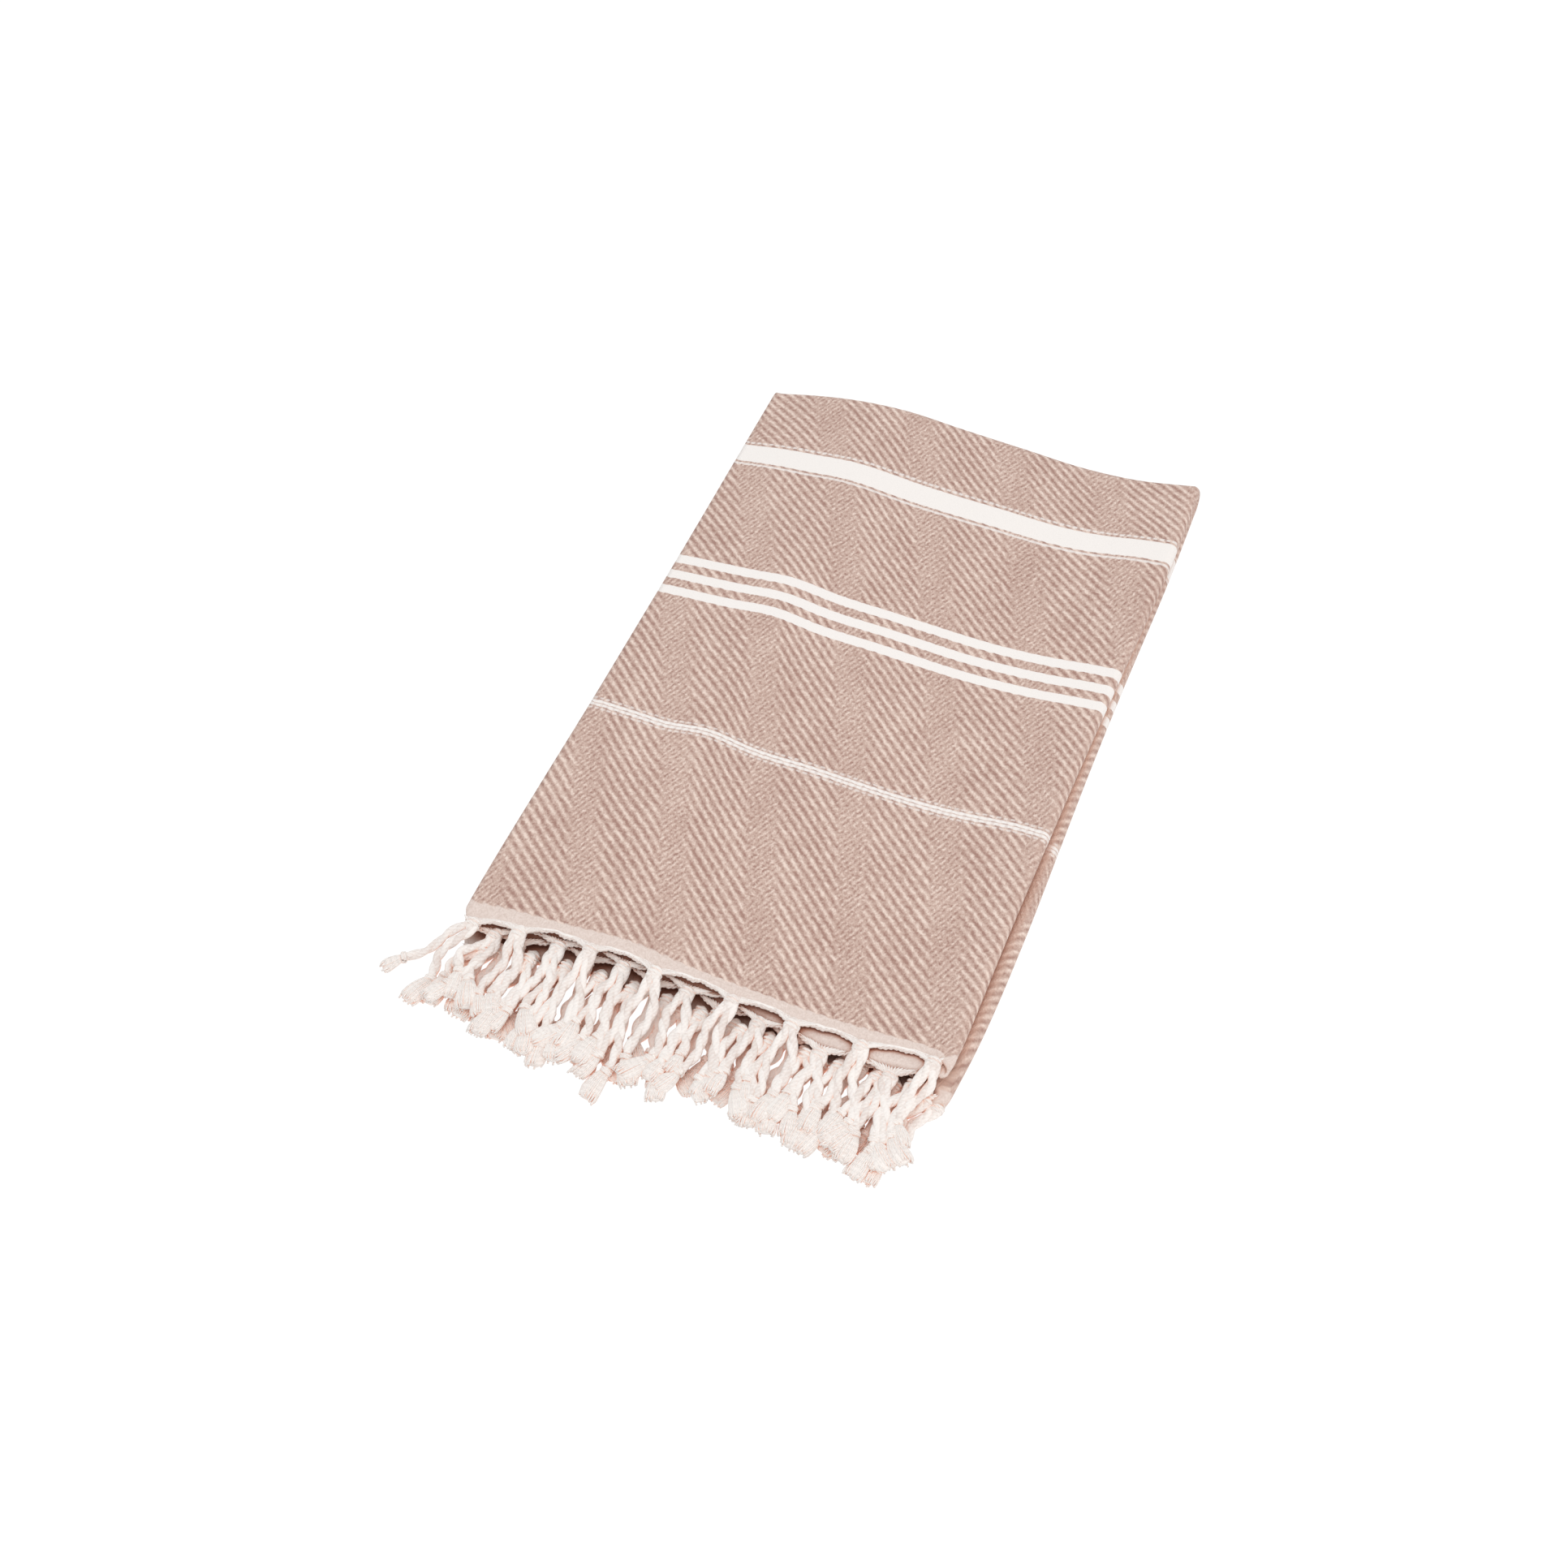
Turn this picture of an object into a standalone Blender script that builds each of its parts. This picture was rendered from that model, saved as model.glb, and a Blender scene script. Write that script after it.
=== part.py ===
"""Hammam towel folded into a flat stack, with four rows of knotted fringe at its near end.

Metres, +Z up, +Y towards the far fold, fringe at -Y. The origin is on the floor, under the
middle of the whole. The tables are laid out about the middle of the cloth.
The cloth is one sheet: its width is doubled twice into a bundle of four layers, and the bundle
is doubled once more over the far fold. Each fringe row is a narrow strip with its knots and
strands, parted from the hem of one layer.
"""
import math

import bmesh
import bpy
import numpy as np

MM = 0.001

# Cloth: one bundle is four layers, and the stack is two bundles.
SHEET = 1.5 * MM
GAP = 0.55 * MM
PITCH = SHEET + GAP
BUNDLE_LAYERS = 4
STACK = 2 * BUNDLE_LAYERS * PITCH - GAP
MID_PLANE = STACK / 2
LEFT = -125.0 * MM
INNER_SELVAGE = -123.0 * MM
LEFT_FOLD = -122.0 * MM
RIGHT_FOLD = 121.0 * MM
FAR_FOLD = 206.6 * MM
LAST_ROW = -188.0 * MM
ROWS = 10
ROLL_STEPS = 7
CREASE_STEPS = 4
TURN_STEPS = 7

# Hem position (y, mm) of each layer of a bundle, outermost layer first along the sheet.
#             outer    next     third    last
HEM_TOP = (-203.0, -212.0, -197.0, -196.0)
HEM_LOW = (-210.5, -208.0, -203.0, -204.0)

# Columns across the stack: x in mm, share of the swell, mm the lower hem sticks out.
COLUMNS = (
    (-122.0, -0.80, 0.0),
    (-100.0, 0.10, 0.0),
    (-74.0, 0.80, 0.0),
    (-46.0, 1.00, 0.0),
    (-14.0, 0.55, 0.0),
    (24.0, 0.05, 0.0),
    (62.0, -0.42, 0.0),
    (92.0, -0.15, 0.0),
    (108.0, 0.35, 3.5),
    (121.0, 0.80, 11.0),
)
# Along the stack: y in mm, rise as a share of the height, push along y in mm.
SWELL = (
    (-215.0, 0.08, 3.2),
    (-60.0, 0.10, 1.6),
    (60.0, 0.16, 2.0),
    (205.0, 0.24, 3.2),
)
# Right and left edges: y in mm, shift in mm of the right edge above and below, and of the left.
EDGES = (
    (-225.0, 0.4, 2.8, 0.4, 1.0),
    (-190.0, 0.6, 5.6, -0.5, 1.4),
    (-120.0, 0.3, 6.9, -0.4, 1.2),
    (-60.0, 0.8, 6.0, 0.1, 1.6),
    (0.0, 1.6, 5.0, 0.0, 1.0),
    (60.0, 3.0, 4.8, -0.2, 0.6),
    (150.0, 5.0, 5.4, -1.1, -0.6),
    (206.0, 4.4, 4.4, -1.6, -1.6),
)

# Fringe.
STRIP = 1.3 * MM
HEM_GAP = 0.36 * MM
STRIP_DEPTH = 2.0 * MM
STRIP_ENDS = (-124.0 * MM, 119.5 * MM)
STRIP_STEPS = 5
KNOT_SIDES = 6
# Ridged knot: share of its half length, share of its radius.
KNOT_PROFILE = (
    (-1.0, 0.45),
    (-0.62, 0.95),
    (-0.15, 0.78),
    (0.3, 1.0),
    (0.95, 0.5),
)
KNOT_WIDTH = 3.9 * MM
KNOT_HEIGHT = 2.2 * MM
KNOT_LENGTH = 4.2 * MM
ROOT_SPREAD = 1.7 * MM
# Strand: share of its length, half its width and half its height in mm.
STRAND_PROFILE = (
    (0.0, 1.7, 1.5),
    (0.14, 2.4, 2.0),
    (0.34, 2.9, 2.2),
    (0.56, 2.8, 2.1),
    (0.76, 3.0, 2.2),
    (0.9, 3.7, 2.7),
    (1.0, 2.6, 1.8),
)
# Height of an upper strand over the floor: y in mm, z in mm.
UPPER_REST = (
    (-272.0, 4.0),
    (-266.0, 6.2),
    (-258.0, 8.8),
    (-236.0, 9.3),
)

# Knots of the top row: x of the knot, then x and y of the tips of its two strands, all mm.
TOP_ROW = (
    (-118.0, -151.0, -241.0, -128.5, -249.0),
    (-94.5, -98.0, -254.0, -89.0, -260.0),
    (-58.0, -62.5, -268.0, -53.5, -263.0),
    (-24.0, -27.0, -275.0, -18.0, -264.0),
    (16.0, 8.0, -262.0, 17.0, -262.0),
    (47.0, 44.0, -264.0, 53.0, -262.0),
    (81.0, 79.0, -265.0, 87.5, -258.0),
    (115.5, 112.0, -268.0, 119.5, -249.0),
)
SECOND_ROW = (
    (-107.0, -116.0, -243.0, -107.0, -246.0),
    (-75.0, -80.0, -260.0, -71.0, -267.0),
    (-41.5, -44.5, -262.0, -36.0, -268.0),
    (-7.5, -9.5, -260.0, -1.0, -266.0),
    (31.0, 26.0, -253.0, 35.0, -259.0),
    (63.5, 62.0, -260.0, 70.5, -255.0),
    (98.0, 96.0, -260.0, 104.5, -269.0),
)
THIRD_ROW = (
    (-96.5, -101.5, -249.0, -92.5, -251.0),
    (-61.0, -66.0, -247.0, -57.5, -254.0),
    (-25.0, -31.0, -252.0, -22.5, -246.0),
    (10.0, 4.0, -250.0, 12.5, -244.0),
    (45.5, 39.5, -247.0, 48.0, -250.0),
    (80.5, 74.0, -251.0, 82.5, -246.0),
    (115.0, 106.5, -253.0, 115.0, -245.0),
)
BOTTOM_ROW = (
    (-114.0, -119.0, -242.0, -110.5, -246.0),
    (-78.5, -83.5, -253.0, -75.0, -249.0),
    (-43.0, -49.0, -250.0, -40.0, -256.0),
    (-7.5, -13.5, -254.0, -5.0, -251.0),
    (27.5, 21.5, -243.0, 30.5, -248.0),
    (63.0, 57.0, -249.0, 65.5, -253.0),
    (98.0, 90.5, -251.0, 98.5, -255.0),
)
# Name, bundle, height over the middle plane in pitches, hem in mm, knot y and z in mm, rows.
FRINGES = (
    ("fringe_top", 1, 3.5, HEM_TOP[0], -210.5, 14.6, TOP_ROW),
    ("fringe_second", 1, 0.5, HEM_TOP[1], -219.0, 9.3, SECOND_ROW),
    ("fringe_third", -1, 0.5, HEM_LOW[1], -216.0, 4.9, THIRD_ROW),
    ("fringe_bottom", -1, 3.5, HEM_LOW[0], -218.5, 2.35, BOTTOM_ROW),
)
FLOOR_ROWS = ("fringe_third", "fringe_bottom")
# Tips farther left than this lie on the floor on their own, and farther than that run straight.
LONE_TIP_X = -121.0
LONE_TIP_Z = 3.0
STRAIGHT_TIP_X = -140.0

CLOTH_COLOUR = (0.58, 0.42, 0.35, 1.0)
FRINGE_COLOUR = (0.88, 0.84, 0.79, 1.0)


def clear_scene():
    for item in list(bpy.data.objects):
        bpy.data.objects.remove(item, do_unlink=True)


def smooth(value):
    share = np.clip(value, 0.0, 1.0)
    return share * share * (3.0 - 2.0 * share)


def column(table, index, at):
    """Value at `at` (metres) of one column of a table whose first column is in mm."""
    rows = sorted(table)
    return float(np.interp(at / MM, [row[0] for row in rows], [row[index] for row in rows]))


def settle(x, y, z):
    """Move a point of the plain folded stack to where the uneven towel lies."""
    upper = z > MID_PLANE
    right = column(EDGES, 1 if upper else 2, y) * MM
    left = column(EDGES, 3 if upper else 4, y) * MM
    wave = column(COLUMNS, 1, x)
    rise = 1.0 + column(SWELL, 1, y) * wave
    push = column(SWELL, 2, y) * MM * wave
    x = x + right * smooth(x / RIGHT_FOLD) + left * smooth(-x / RIGHT_FOLD)
    return (x, y + push, z * rise)


def flare(x, upper):
    """The near right corner of the lower bundle sticks out."""
    return 0.0 if upper else column(COLUMNS, 2, x) * MM


def straight(start, end, height, normal, hem):
    """Centre line of one layer: x, height, normal, hem y."""
    between = [row[0] * MM for row in COLUMNS[1:-1]]
    if end < start:
        between.reverse()
    return [(x, height, 0.0, normal, hem) for x in (start, *between, end)]


def bend(centre_x, centre_h, radius, start, turn, side, steps, hems):
    """Fold between two layers: an arc of half a turn."""
    points = []
    for step in range(1, steps):
        share = step / steps
        angle = start + turn * math.pi * share
        across, up = math.cos(angle), math.sin(angle)
        hem = hems[0] + (hems[1] - hems[0]) * share
        points.append((centre_x + radius * across, centre_h + radius * up,
                       side * across, side * up, hem))
    return points


def bundle_section(hems):
    """Centre line across one bundle, as x, height over the middle plane, normal and hem."""
    outer, last, third, second = 3.5 * PITCH, 0.5 * PITCH, 1.5 * PITCH, 2.5 * PITCH
    middle = 2.0 * PITCH
    up, down = math.pi / 2, -math.pi / 2
    line = straight(LEFT, RIGHT_FOLD, outer, 1.0, hems[0])
    line += bend(RIGHT_FOLD, middle, 1.5 * PITCH, up, -1, 1, ROLL_STEPS, (hems[0], hems[1]))
    line += straight(RIGHT_FOLD, LEFT_FOLD, last, -1.0, hems[1])
    line += bend(LEFT_FOLD, PITCH, 0.5 * PITCH, down, -1, 1, CREASE_STEPS, (hems[1], hems[2]))
    line += straight(LEFT_FOLD, RIGHT_FOLD, third, 1.0, hems[2])
    line += bend(RIGHT_FOLD, middle, 0.5 * PITCH, down, 1, -1, CREASE_STEPS, (hems[2], hems[3]))
    line += straight(RIGHT_FOLD, INNER_SELVAGE, second, -1.0, hems[3])
    return line


def stations():
    """Steps along the cloth, from the upper hem over the far fold to the lower hem."""
    run = np.linspace(LAST_ROW, FAR_FOLD, ROWS + 1)
    over = [("over", y) for y in run]
    turn = [("turn", math.pi * step / TURN_STEPS) for step in range(1, TURN_STEPS)]
    under = [("under", y) for y in run[::-1]]
    return [("over", None)] + over + turn + under + [("under", None)]


def place(station, x, height, hem):
    """Point of the folded stack for a section point at one station."""
    kind, value = station
    if kind == "turn":
        return (x, FAR_FOLD + height * math.sin(value), MID_PLANE + height * math.cos(value))
    upper = kind == "over"
    y = hem * MM - flare(x, upper) if value is None else value
    return (x, y, MID_PLANE + height if upper else MID_PLANE - height)


def make_object(name, vertices, faces, colour):
    mesh = bpy.data.meshes.new(name)
    mesh.from_pydata(vertices, [], faces)
    shell = bmesh.new()
    shell.from_mesh(mesh)
    bmesh.ops.recalc_face_normals(shell, faces=shell.faces)
    bmesh.ops.triangulate(shell, faces=shell.faces)
    shell.to_mesh(mesh)
    shell.free()
    item = bpy.data.objects.new(name, mesh)
    bpy.context.scene.collection.objects.link(item)
    material = bpy.data.materials.new(name)
    material.use_nodes = True
    surface = material.node_tree.nodes["Principled BSDF"]
    surface.inputs["Base Color"].default_value = colour
    surface.inputs["Roughness"].default_value = 0.9
    mesh.materials.append(material)
    return item


def build_cloth():
    """One sheet through every layer, folded over the far fold."""
    upper, lower = bundle_section(HEM_TOP), bundle_section(HEM_LOW)
    path = stations()
    count = len(upper)
    vertices = []
    for index, station in enumerate(path):
        line = upper if index < len(path) / 2 else lower
        for x, height, normal_x, normal_h, hem in line:
            for side in (0.5, -0.5):
                offset_x = x + side * SHEET * normal_x
                offset_h = height + side * SHEET * normal_h
                vertices.append(settle(*place(station, offset_x, offset_h, hem)))

    def vertex(row, step, side):
        return (row * count + step) * 2 + side

    faces = []
    for row in range(len(path) - 1):
        for step in range(count - 1):
            for side in (0, 1):
                faces.append((vertex(row, step, side), vertex(row + 1, step, side),
                              vertex(row + 1, step + 1, side), vertex(row, step + 1, side)))
        for step in (0, count - 1):
            faces.append((vertex(row, step, 0), vertex(row, step, 1),
                          vertex(row + 1, step, 1), vertex(row + 1, step, 0)))
    for row in (0, len(path) - 1):
        for step in range(count - 1):
            faces.append((vertex(row, step, 0), vertex(row, step + 1, 0),
                          vertex(row, step + 1, 1), vertex(row, step, 1)))
    return make_object("towel_cloth", vertices, faces, CLOTH_COLOUR)


def tube(rings, faces, vertices):
    """Closed tube through rings of equal size, added to the lists."""
    first = len(vertices)
    sides = len(rings[0])
    for ring in rings:
        vertices.extend(ring)
    for index in range(len(rings) - 1):
        for side in range(sides):
            after = (side + 1) % sides
            low, high = first + index * sides, first + (index + 1) * sides
            faces.append((low + side, low + after, high + after, high + side))
    faces.append(tuple(first + side for side in reversed(range(sides))))
    last = first + (len(rings) - 1) * sides
    faces.append(tuple(last + side for side in range(sides)))


def strip_columns(knots):
    """Positions along the strip, closer together at the knots, with the share of reach there."""
    stops = [STRIP_ENDS[0]] + [knot * MM for knot in knots] + [STRIP_ENDS[1]]
    spots = []
    for start, end in zip(stops, stops[1:]):
        spots.extend(np.linspace(start, end, STRIP_STEPS + 1)[:-1])
    spots.append(STRIP_ENDS[1])
    reach = []
    for x in spots:
        nearest = min(abs(x - knot * MM) for knot in knots)
        reach.append(max(0.0, 1.0 - nearest / (14.0 * MM)) ** 2)
    return spots, reach


def build_strip(bundle, layer, hem, knot_y, knot_z, knots):
    """Narrow scalloped strip along one hem, drawn out to each knot."""
    height = MID_PLANE + bundle * layer * PITCH
    vertices, faces = [], []
    rings = []
    half = STRIP / 2
    for x, reach in zip(*strip_columns(knots)):
        hem_y = hem * MM - flare(x, bundle > 0) - HEM_GAP
        depth = STRIP_DEPTH + reach * ((hem - knot_y) * MM - STRIP_DEPTH)
        edge_z = height + reach * (knot_z * MM - height)
        rings.append((
            settle(x, hem_y, height + half),
            settle(x, hem_y, height - half),
            settle(x, hem_y - depth, edge_z - half),
            settle(x, hem_y - depth, edge_z + half),
        ))
    tube(rings, faces, vertices)
    return make_object("strip", vertices, faces, FRINGE_COLOUR)


def knot_centre(bundle, x, y, z):
    return settle(x * MM, y * MM - flare(x * MM, bundle > 0), z * MM)


def add_knot(centre, faces, vertices):
    rings = []
    for along, width in KNOT_PROFILE:
        ring = []
        for side in range(KNOT_SIDES):
            angle = 2 * math.pi * (side + 0.5) / KNOT_SIDES
            ring.append((centre[0] + KNOT_WIDTH * width * math.cos(angle),
                         centre[1] - KNOT_LENGTH * along,
                         centre[2] + KNOT_HEIGHT * width * math.sin(angle)))
        rings.append(ring)
    tube(rings, faces, vertices)


def strand_height(name, root, tip, share, half):
    """Height of a strand's middle: on the floor, or over the strands that lie there."""
    y = root[1] + (tip[1] - root[1]) * share
    drop = smooth(share / 0.42)
    if name in FLOOR_ROWS:
        rest = half
    elif tip[0] < LONE_TIP_X * MM:
        rest = LONE_TIP_Z * MM
        drop = smooth(share / 0.65)
    else:
        rest = column(UPPER_REST, 1, y) * MM
    return root[2] + (rest - root[2]) * drop


def add_strand(name, root, tip, faces, vertices):
    """Four-sided strand from its knot to its tip."""
    rings = []
    for share, half_width, half_height in STRAND_PROFILE:
        sideways = share if tip[0] < STRAIGHT_TIP_X * MM else smooth(share / 0.55)
        x = root[0] + (tip[0] - root[0]) * sideways
        y = root[1] + (tip[1] - root[1]) * share
        z = strand_height(name, root, tip, share, half_height * MM)
        rings.append([(x + across * half_width * MM, y, z + up * half_height * MM)
                      for across, up in ((1, 1), (-1, 1), (-1, -1), (1, -1))])
    tube(rings, faces, vertices)


def fuse(item, others):
    """Join the overlapping pieces of one fringe row into one body."""
    for other in others:
        union = item.modifiers.new("fuse", "BOOLEAN")
        union.operation = "UNION"
        union.solver = "EXACT"
        union.use_self = True
        union.object = other
    evaluated = item.evaluated_get(bpy.context.evaluated_depsgraph_get())
    mesh = bpy.data.meshes.new_from_object(evaluated)
    item.modifiers.clear()
    item.data = mesh
    for other in others:
        bpy.data.objects.remove(other, do_unlink=True)


def build_fringe(name, bundle, layer, hem, knot_y, knot_z, rows):
    """One fringe row: strip, ridged knots and two strands from each knot."""
    item = build_strip(bundle, layer, hem, knot_y, knot_z, [row[0] for row in rows])
    item.name = name
    item.data.materials[0].name = name
    knots, knot_faces = [], []
    strands, strand_faces = [], []
    for knot_x, *tips in rows:
        centre = knot_centre(bundle, knot_x, knot_y, knot_z)
        add_knot(centre, knot_faces, knots)
        for side, tip_x, tip_y in ((-1, *tips[:2]), (1, *tips[2:])):
            root = (centre[0] + side * ROOT_SPREAD, centre[1], centre[2])
            add_strand(name, root, (tip_x * MM, tip_y * MM), strand_faces, strands)
    others = [make_object("knots", knots, knot_faces, FRINGE_COLOUR),
              make_object("strands", strands, strand_faces, FRINGE_COLOUR)]
    fuse(item, others)
    return item


def centre(items):
    """Put the origin under the middle of everything."""
    corners = np.array([vertex.co for item in items for vertex in item.data.vertices])
    middle = (corners.min(axis=0) + corners.max(axis=0)) / 2
    for item in items:
        for vertex in item.data.vertices:
            vertex.co.x -= middle[0]
            vertex.co.y -= middle[1]


def main():
    clear_scene()
    centre([build_cloth()] + [build_fringe(*fringe) for fringe in FRINGES])


main()
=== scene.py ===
"""Looks of the folded hammam towel: twill cotton with white bands, and knotted, twisted fringe.

Lengths are in millimetres until a mesh is made. They are laid out about the middle of the
cloth, +Y towards the far fold and the fringe at -Y. MIDDLE is the frame's origin among them,
which is the middle of the whole part with its fringe.
"""
import math
from collections import namedtuple

import bpy
import numpy as np
from mathutils import Matrix, Vector


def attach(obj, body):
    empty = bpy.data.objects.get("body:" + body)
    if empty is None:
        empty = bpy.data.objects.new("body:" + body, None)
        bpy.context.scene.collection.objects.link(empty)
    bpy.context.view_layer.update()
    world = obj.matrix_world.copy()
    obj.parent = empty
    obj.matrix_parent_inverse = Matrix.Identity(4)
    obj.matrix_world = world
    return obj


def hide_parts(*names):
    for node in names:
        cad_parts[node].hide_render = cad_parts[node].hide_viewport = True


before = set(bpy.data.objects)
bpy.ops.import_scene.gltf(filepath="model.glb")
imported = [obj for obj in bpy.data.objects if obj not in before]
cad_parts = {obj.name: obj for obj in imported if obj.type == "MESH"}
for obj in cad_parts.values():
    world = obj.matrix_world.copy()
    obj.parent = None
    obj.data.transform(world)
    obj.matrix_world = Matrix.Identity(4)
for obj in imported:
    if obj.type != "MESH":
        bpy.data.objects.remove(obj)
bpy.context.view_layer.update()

MM = 0.001
MIDDLE = (-11.067, -28.737)
SEED = 11

# Cloth, as in the CAD: four layers to a bundle and two bundles to the stack.
LAYERS = 8
SHEET = 1.5
GAP = 0.55
PITCH = SHEET + GAP
MID_PLANE = (LAYERS * PITCH - GAP) / 2
# Layers in the order of the fold, in pitches from the middle of the stack. The first shows on
# the outside, the second between the bundles, and the others lie inside.
OUTER_LAYER = 3.5
FACING_LAYER = 0.5
INSIDE_LAYER = 1.5
SELVAGE_LAYER = 2.5
# Ends and folds across the stack: x.
LEFT = -125.0
INNER_SELVAGE = -123.0
LEFT_FOLD = -122.0
RIGHT_FOLD = 121.0
# The far fold, the last straight row before the hems, and the hems of the upper and the lower
# bundle in the order of the layers: y.
FAR_FOLD = 206.6
LAST_ROW = -188.0
HEM_TOP = (-203.0, -212.0, -197.0, -196.0)
HEM_LOW = (-210.5, -208.0, -203.0, -204.0)

# Columns across the stack: x, share of the swell, how far the lower hem sticks out.
COLUMNS = (
    (-122.0, -0.80, 0.0),
    (-100.0, 0.10, 0.0),
    (-74.0, 0.80, 0.0),
    (-46.0, 1.00, 0.0),
    (-14.0, 0.55, 0.0),
    (24.0, 0.05, 0.0),
    (62.0, -0.42, 0.0),
    (92.0, -0.15, 0.0),
    (108.0, 0.35, 3.5),
    (121.0, 0.80, 11.0),
)
# Along the stack: y, rise as a share of the height, push along y.
SWELL = (
    (-215.0, 0.08, 3.2),
    (-60.0, 0.10, 1.6),
    (60.0, 0.16, 2.0),
    (205.0, 0.24, 3.2),
)
# Edges: y, shift of the right edge above and below, and of the left edge above and below.
EDGES = (
    (-225.0, 0.4, 2.8, 0.4, 1.0),
    (-190.0, 0.6, 5.6, -0.5, 1.4),
    (-120.0, 0.3, 6.9, -0.4, 1.2),
    (-60.0, 0.8, 6.0, 0.1, 1.6),
    (0.0, 1.6, 5.0, 0.0, 1.0),
    (60.0, 3.0, 4.8, -0.2, 0.6),
    (150.0, 5.0, 5.4, -1.1, -0.6),
    (206.0, 4.4, 4.4, -1.6, -1.6),
)

# How far the weave wanders along the stack: x, then mm at each stop but the first and last.
DRIFT_STOPS = (-208.0, -62.0, 43.0, 150.0, 206.0)
DRIFT = (
    (-120.0, 4.8, 3.5, 3.9),
    (-96.0, 1.4, 1.2, 1.5),
    (-82.0, -0.2, 0.8, 0.2),
    (-60.0, 1.7, 1.8, 0.2),
    (-34.0, -1.6, -1.1, -1.4),
    (0.0, -0.9, -0.8, -1.4),
    (36.0, -1.2, -1.1, 0.1),
    (72.0, -0.3, 0.0, 1.4),
    (108.0, 1.2, 0.6, 3.8),
    (121.0, 0.0, 0.2, 2.6),
)

# Columns of a section's line: the first of those about its hem, which is the hem's y, how many
# those are, and the last two, which say where the twill and the bare yarns begin.
HEM_COLUMN = 4
HEM_COLUMNS = 7
TWILL_COLUMN = -2
BARE_COLUMN = -1

# Mesh density of the cloth.
OUTER_COLUMNS = 98
INNER_COLUMNS = 24
ROLL_STEPS = 14
CREASE_STEPS = 7
HEM_ROWS = 13
ROWS = 60
TURN_STEPS = 16

# Fringe: how deep the hem's edge is between two knots, how far from a knot it is drawn towards
# it, by which share of the way along x, and how far to the knot's sides its strands begin.
STRIP_DEPTH = 3.0
REACH = 18.0
GATHER = 0.6
ROOT_SPREAD = 1.7
# Second and third layers: x, how far the hem is set back, share of the edge's rise.
SETBACK = (
    (-125.0, 6.0, 0.3),
    (-90.0, 9.5, 0.5),
    (-40.0, 9.5, 0.5),
    (0.0, 8.5, 0.5),
    (30.0, 6.0, 0.5),
    (60.0, 2.5, 0.8),
    (100.0, 0.5, 1.0),
    (125.0, 0.0, 1.0),
)
# A layer's edge rises from here on, over this length.
RISE_START = -196.0
RISE_RUN = 7.0
# How far behind the hem the cloth starts to run down to its knots.
HEM_START = 1.0
# The rim strays from its scallops: by how much and how fast along x, slowly and quickly.
SLOW_STRAY = (0.7, 0.37)
QUICK_STRAY = (0.5, 0.83)
# Height of an upper strand over the floor: y, z.
UPPER_REST = (
    (-272.0, 4.0),
    (-266.0, 6.2),
    (-258.0, 8.8),
    (-236.0, 9.3),
)
# Knots of each row: x of the knot, then x and y of the tips of its two strands.
TOP_ROW = (
    (-118.0, -151.0, -241.0, -128.5, -249.0),
    (-94.5, -98.0, -254.0, -89.0, -260.0),
    (-58.0, -62.5, -268.0, -53.5, -263.0),
    (-24.0, -27.0, -275.0, -18.0, -264.0),
    (16.0, 8.0, -262.0, 17.0, -262.0),
    (47.0, 44.0, -264.0, 53.0, -262.0),
    (81.0, 79.0, -265.0, 87.5, -258.0),
    (115.5, 107.5, -267.0, 112.5, -249.0),
)
SECOND_ROW = (
    (-107.0, -116.0, -243.0, -107.0, -246.0),
    (-75.0, -80.0, -260.0, -71.0, -267.0),
    (-41.5, -44.5, -262.0, -36.0, -268.0),
    (-7.5, -9.5, -260.0, -1.0, -266.0),
    (31.0, 26.0, -253.0, 35.0, -259.0),
    (63.5, 62.0, -260.0, 70.5, -255.0),
    (98.0, 95.0, -260.0, 102.5, -269.0),
)
THIRD_ROW = (
    (-96.5, -101.5, -249.0, -92.5, -251.0),
    (-61.0, -66.0, -247.0, -57.5, -254.0),
    (-25.0, -31.0, -252.0, -22.5, -246.0),
    (10.0, 4.0, -250.0, 12.5, -244.0),
    (45.5, 39.5, -247.0, 48.0, -250.0),
    (80.5, 74.0, -251.0, 82.5, -246.0),
    (115.0, 104.5, -253.0, 111.0, -246.0),
)
BOTTOM_ROW = (
    (-114.0, -119.0, -242.0, -110.5, -246.0),
    (-78.5, -83.5, -253.0, -75.0, -249.0),
    (-43.0, -49.0, -250.0, -40.0, -256.0),
    (-7.5, -13.5, -254.0, -5.0, -251.0),
    (27.5, 21.5, -243.0, 30.5, -248.0),
    (63.0, 57.0, -249.0, 65.5, -253.0),
    (98.0, 90.5, -251.0, 98.5, -255.0),
)
# Rows of the layers inside the bundles, whose hems do not show.
MIDDLE_ROW = (
    (-109.5, -122.0, -243.0, -113.0, -252.0),
    (-87.0, -91.5, -248.0, -84.0, -256.0),
    (-68.0, -74.0, -252.0, -67.0, -261.0),
    (-50.0, -55.0, -256.0, -47.5, -250.0),
    (-33.0, -38.0, -256.0, -31.5, -266.0),
    (3.5, -3.5, -255.0, 3.0, -248.0),
    (24.0, 20.0, -256.0, 26.5, -250.0),
    (38.5, 36.0, -250.0, 41.0, -262.0),
    (56.0, 53.0, -254.0, 60.0, -250.0),
    (72.5, 68.5, -262.0, 75.0, -252.0),
    (90.0, 86.0, -252.0, 93.0, -262.0),
    (107.0, 103.0, -262.0, 110.0, -256.0),
)
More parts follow.
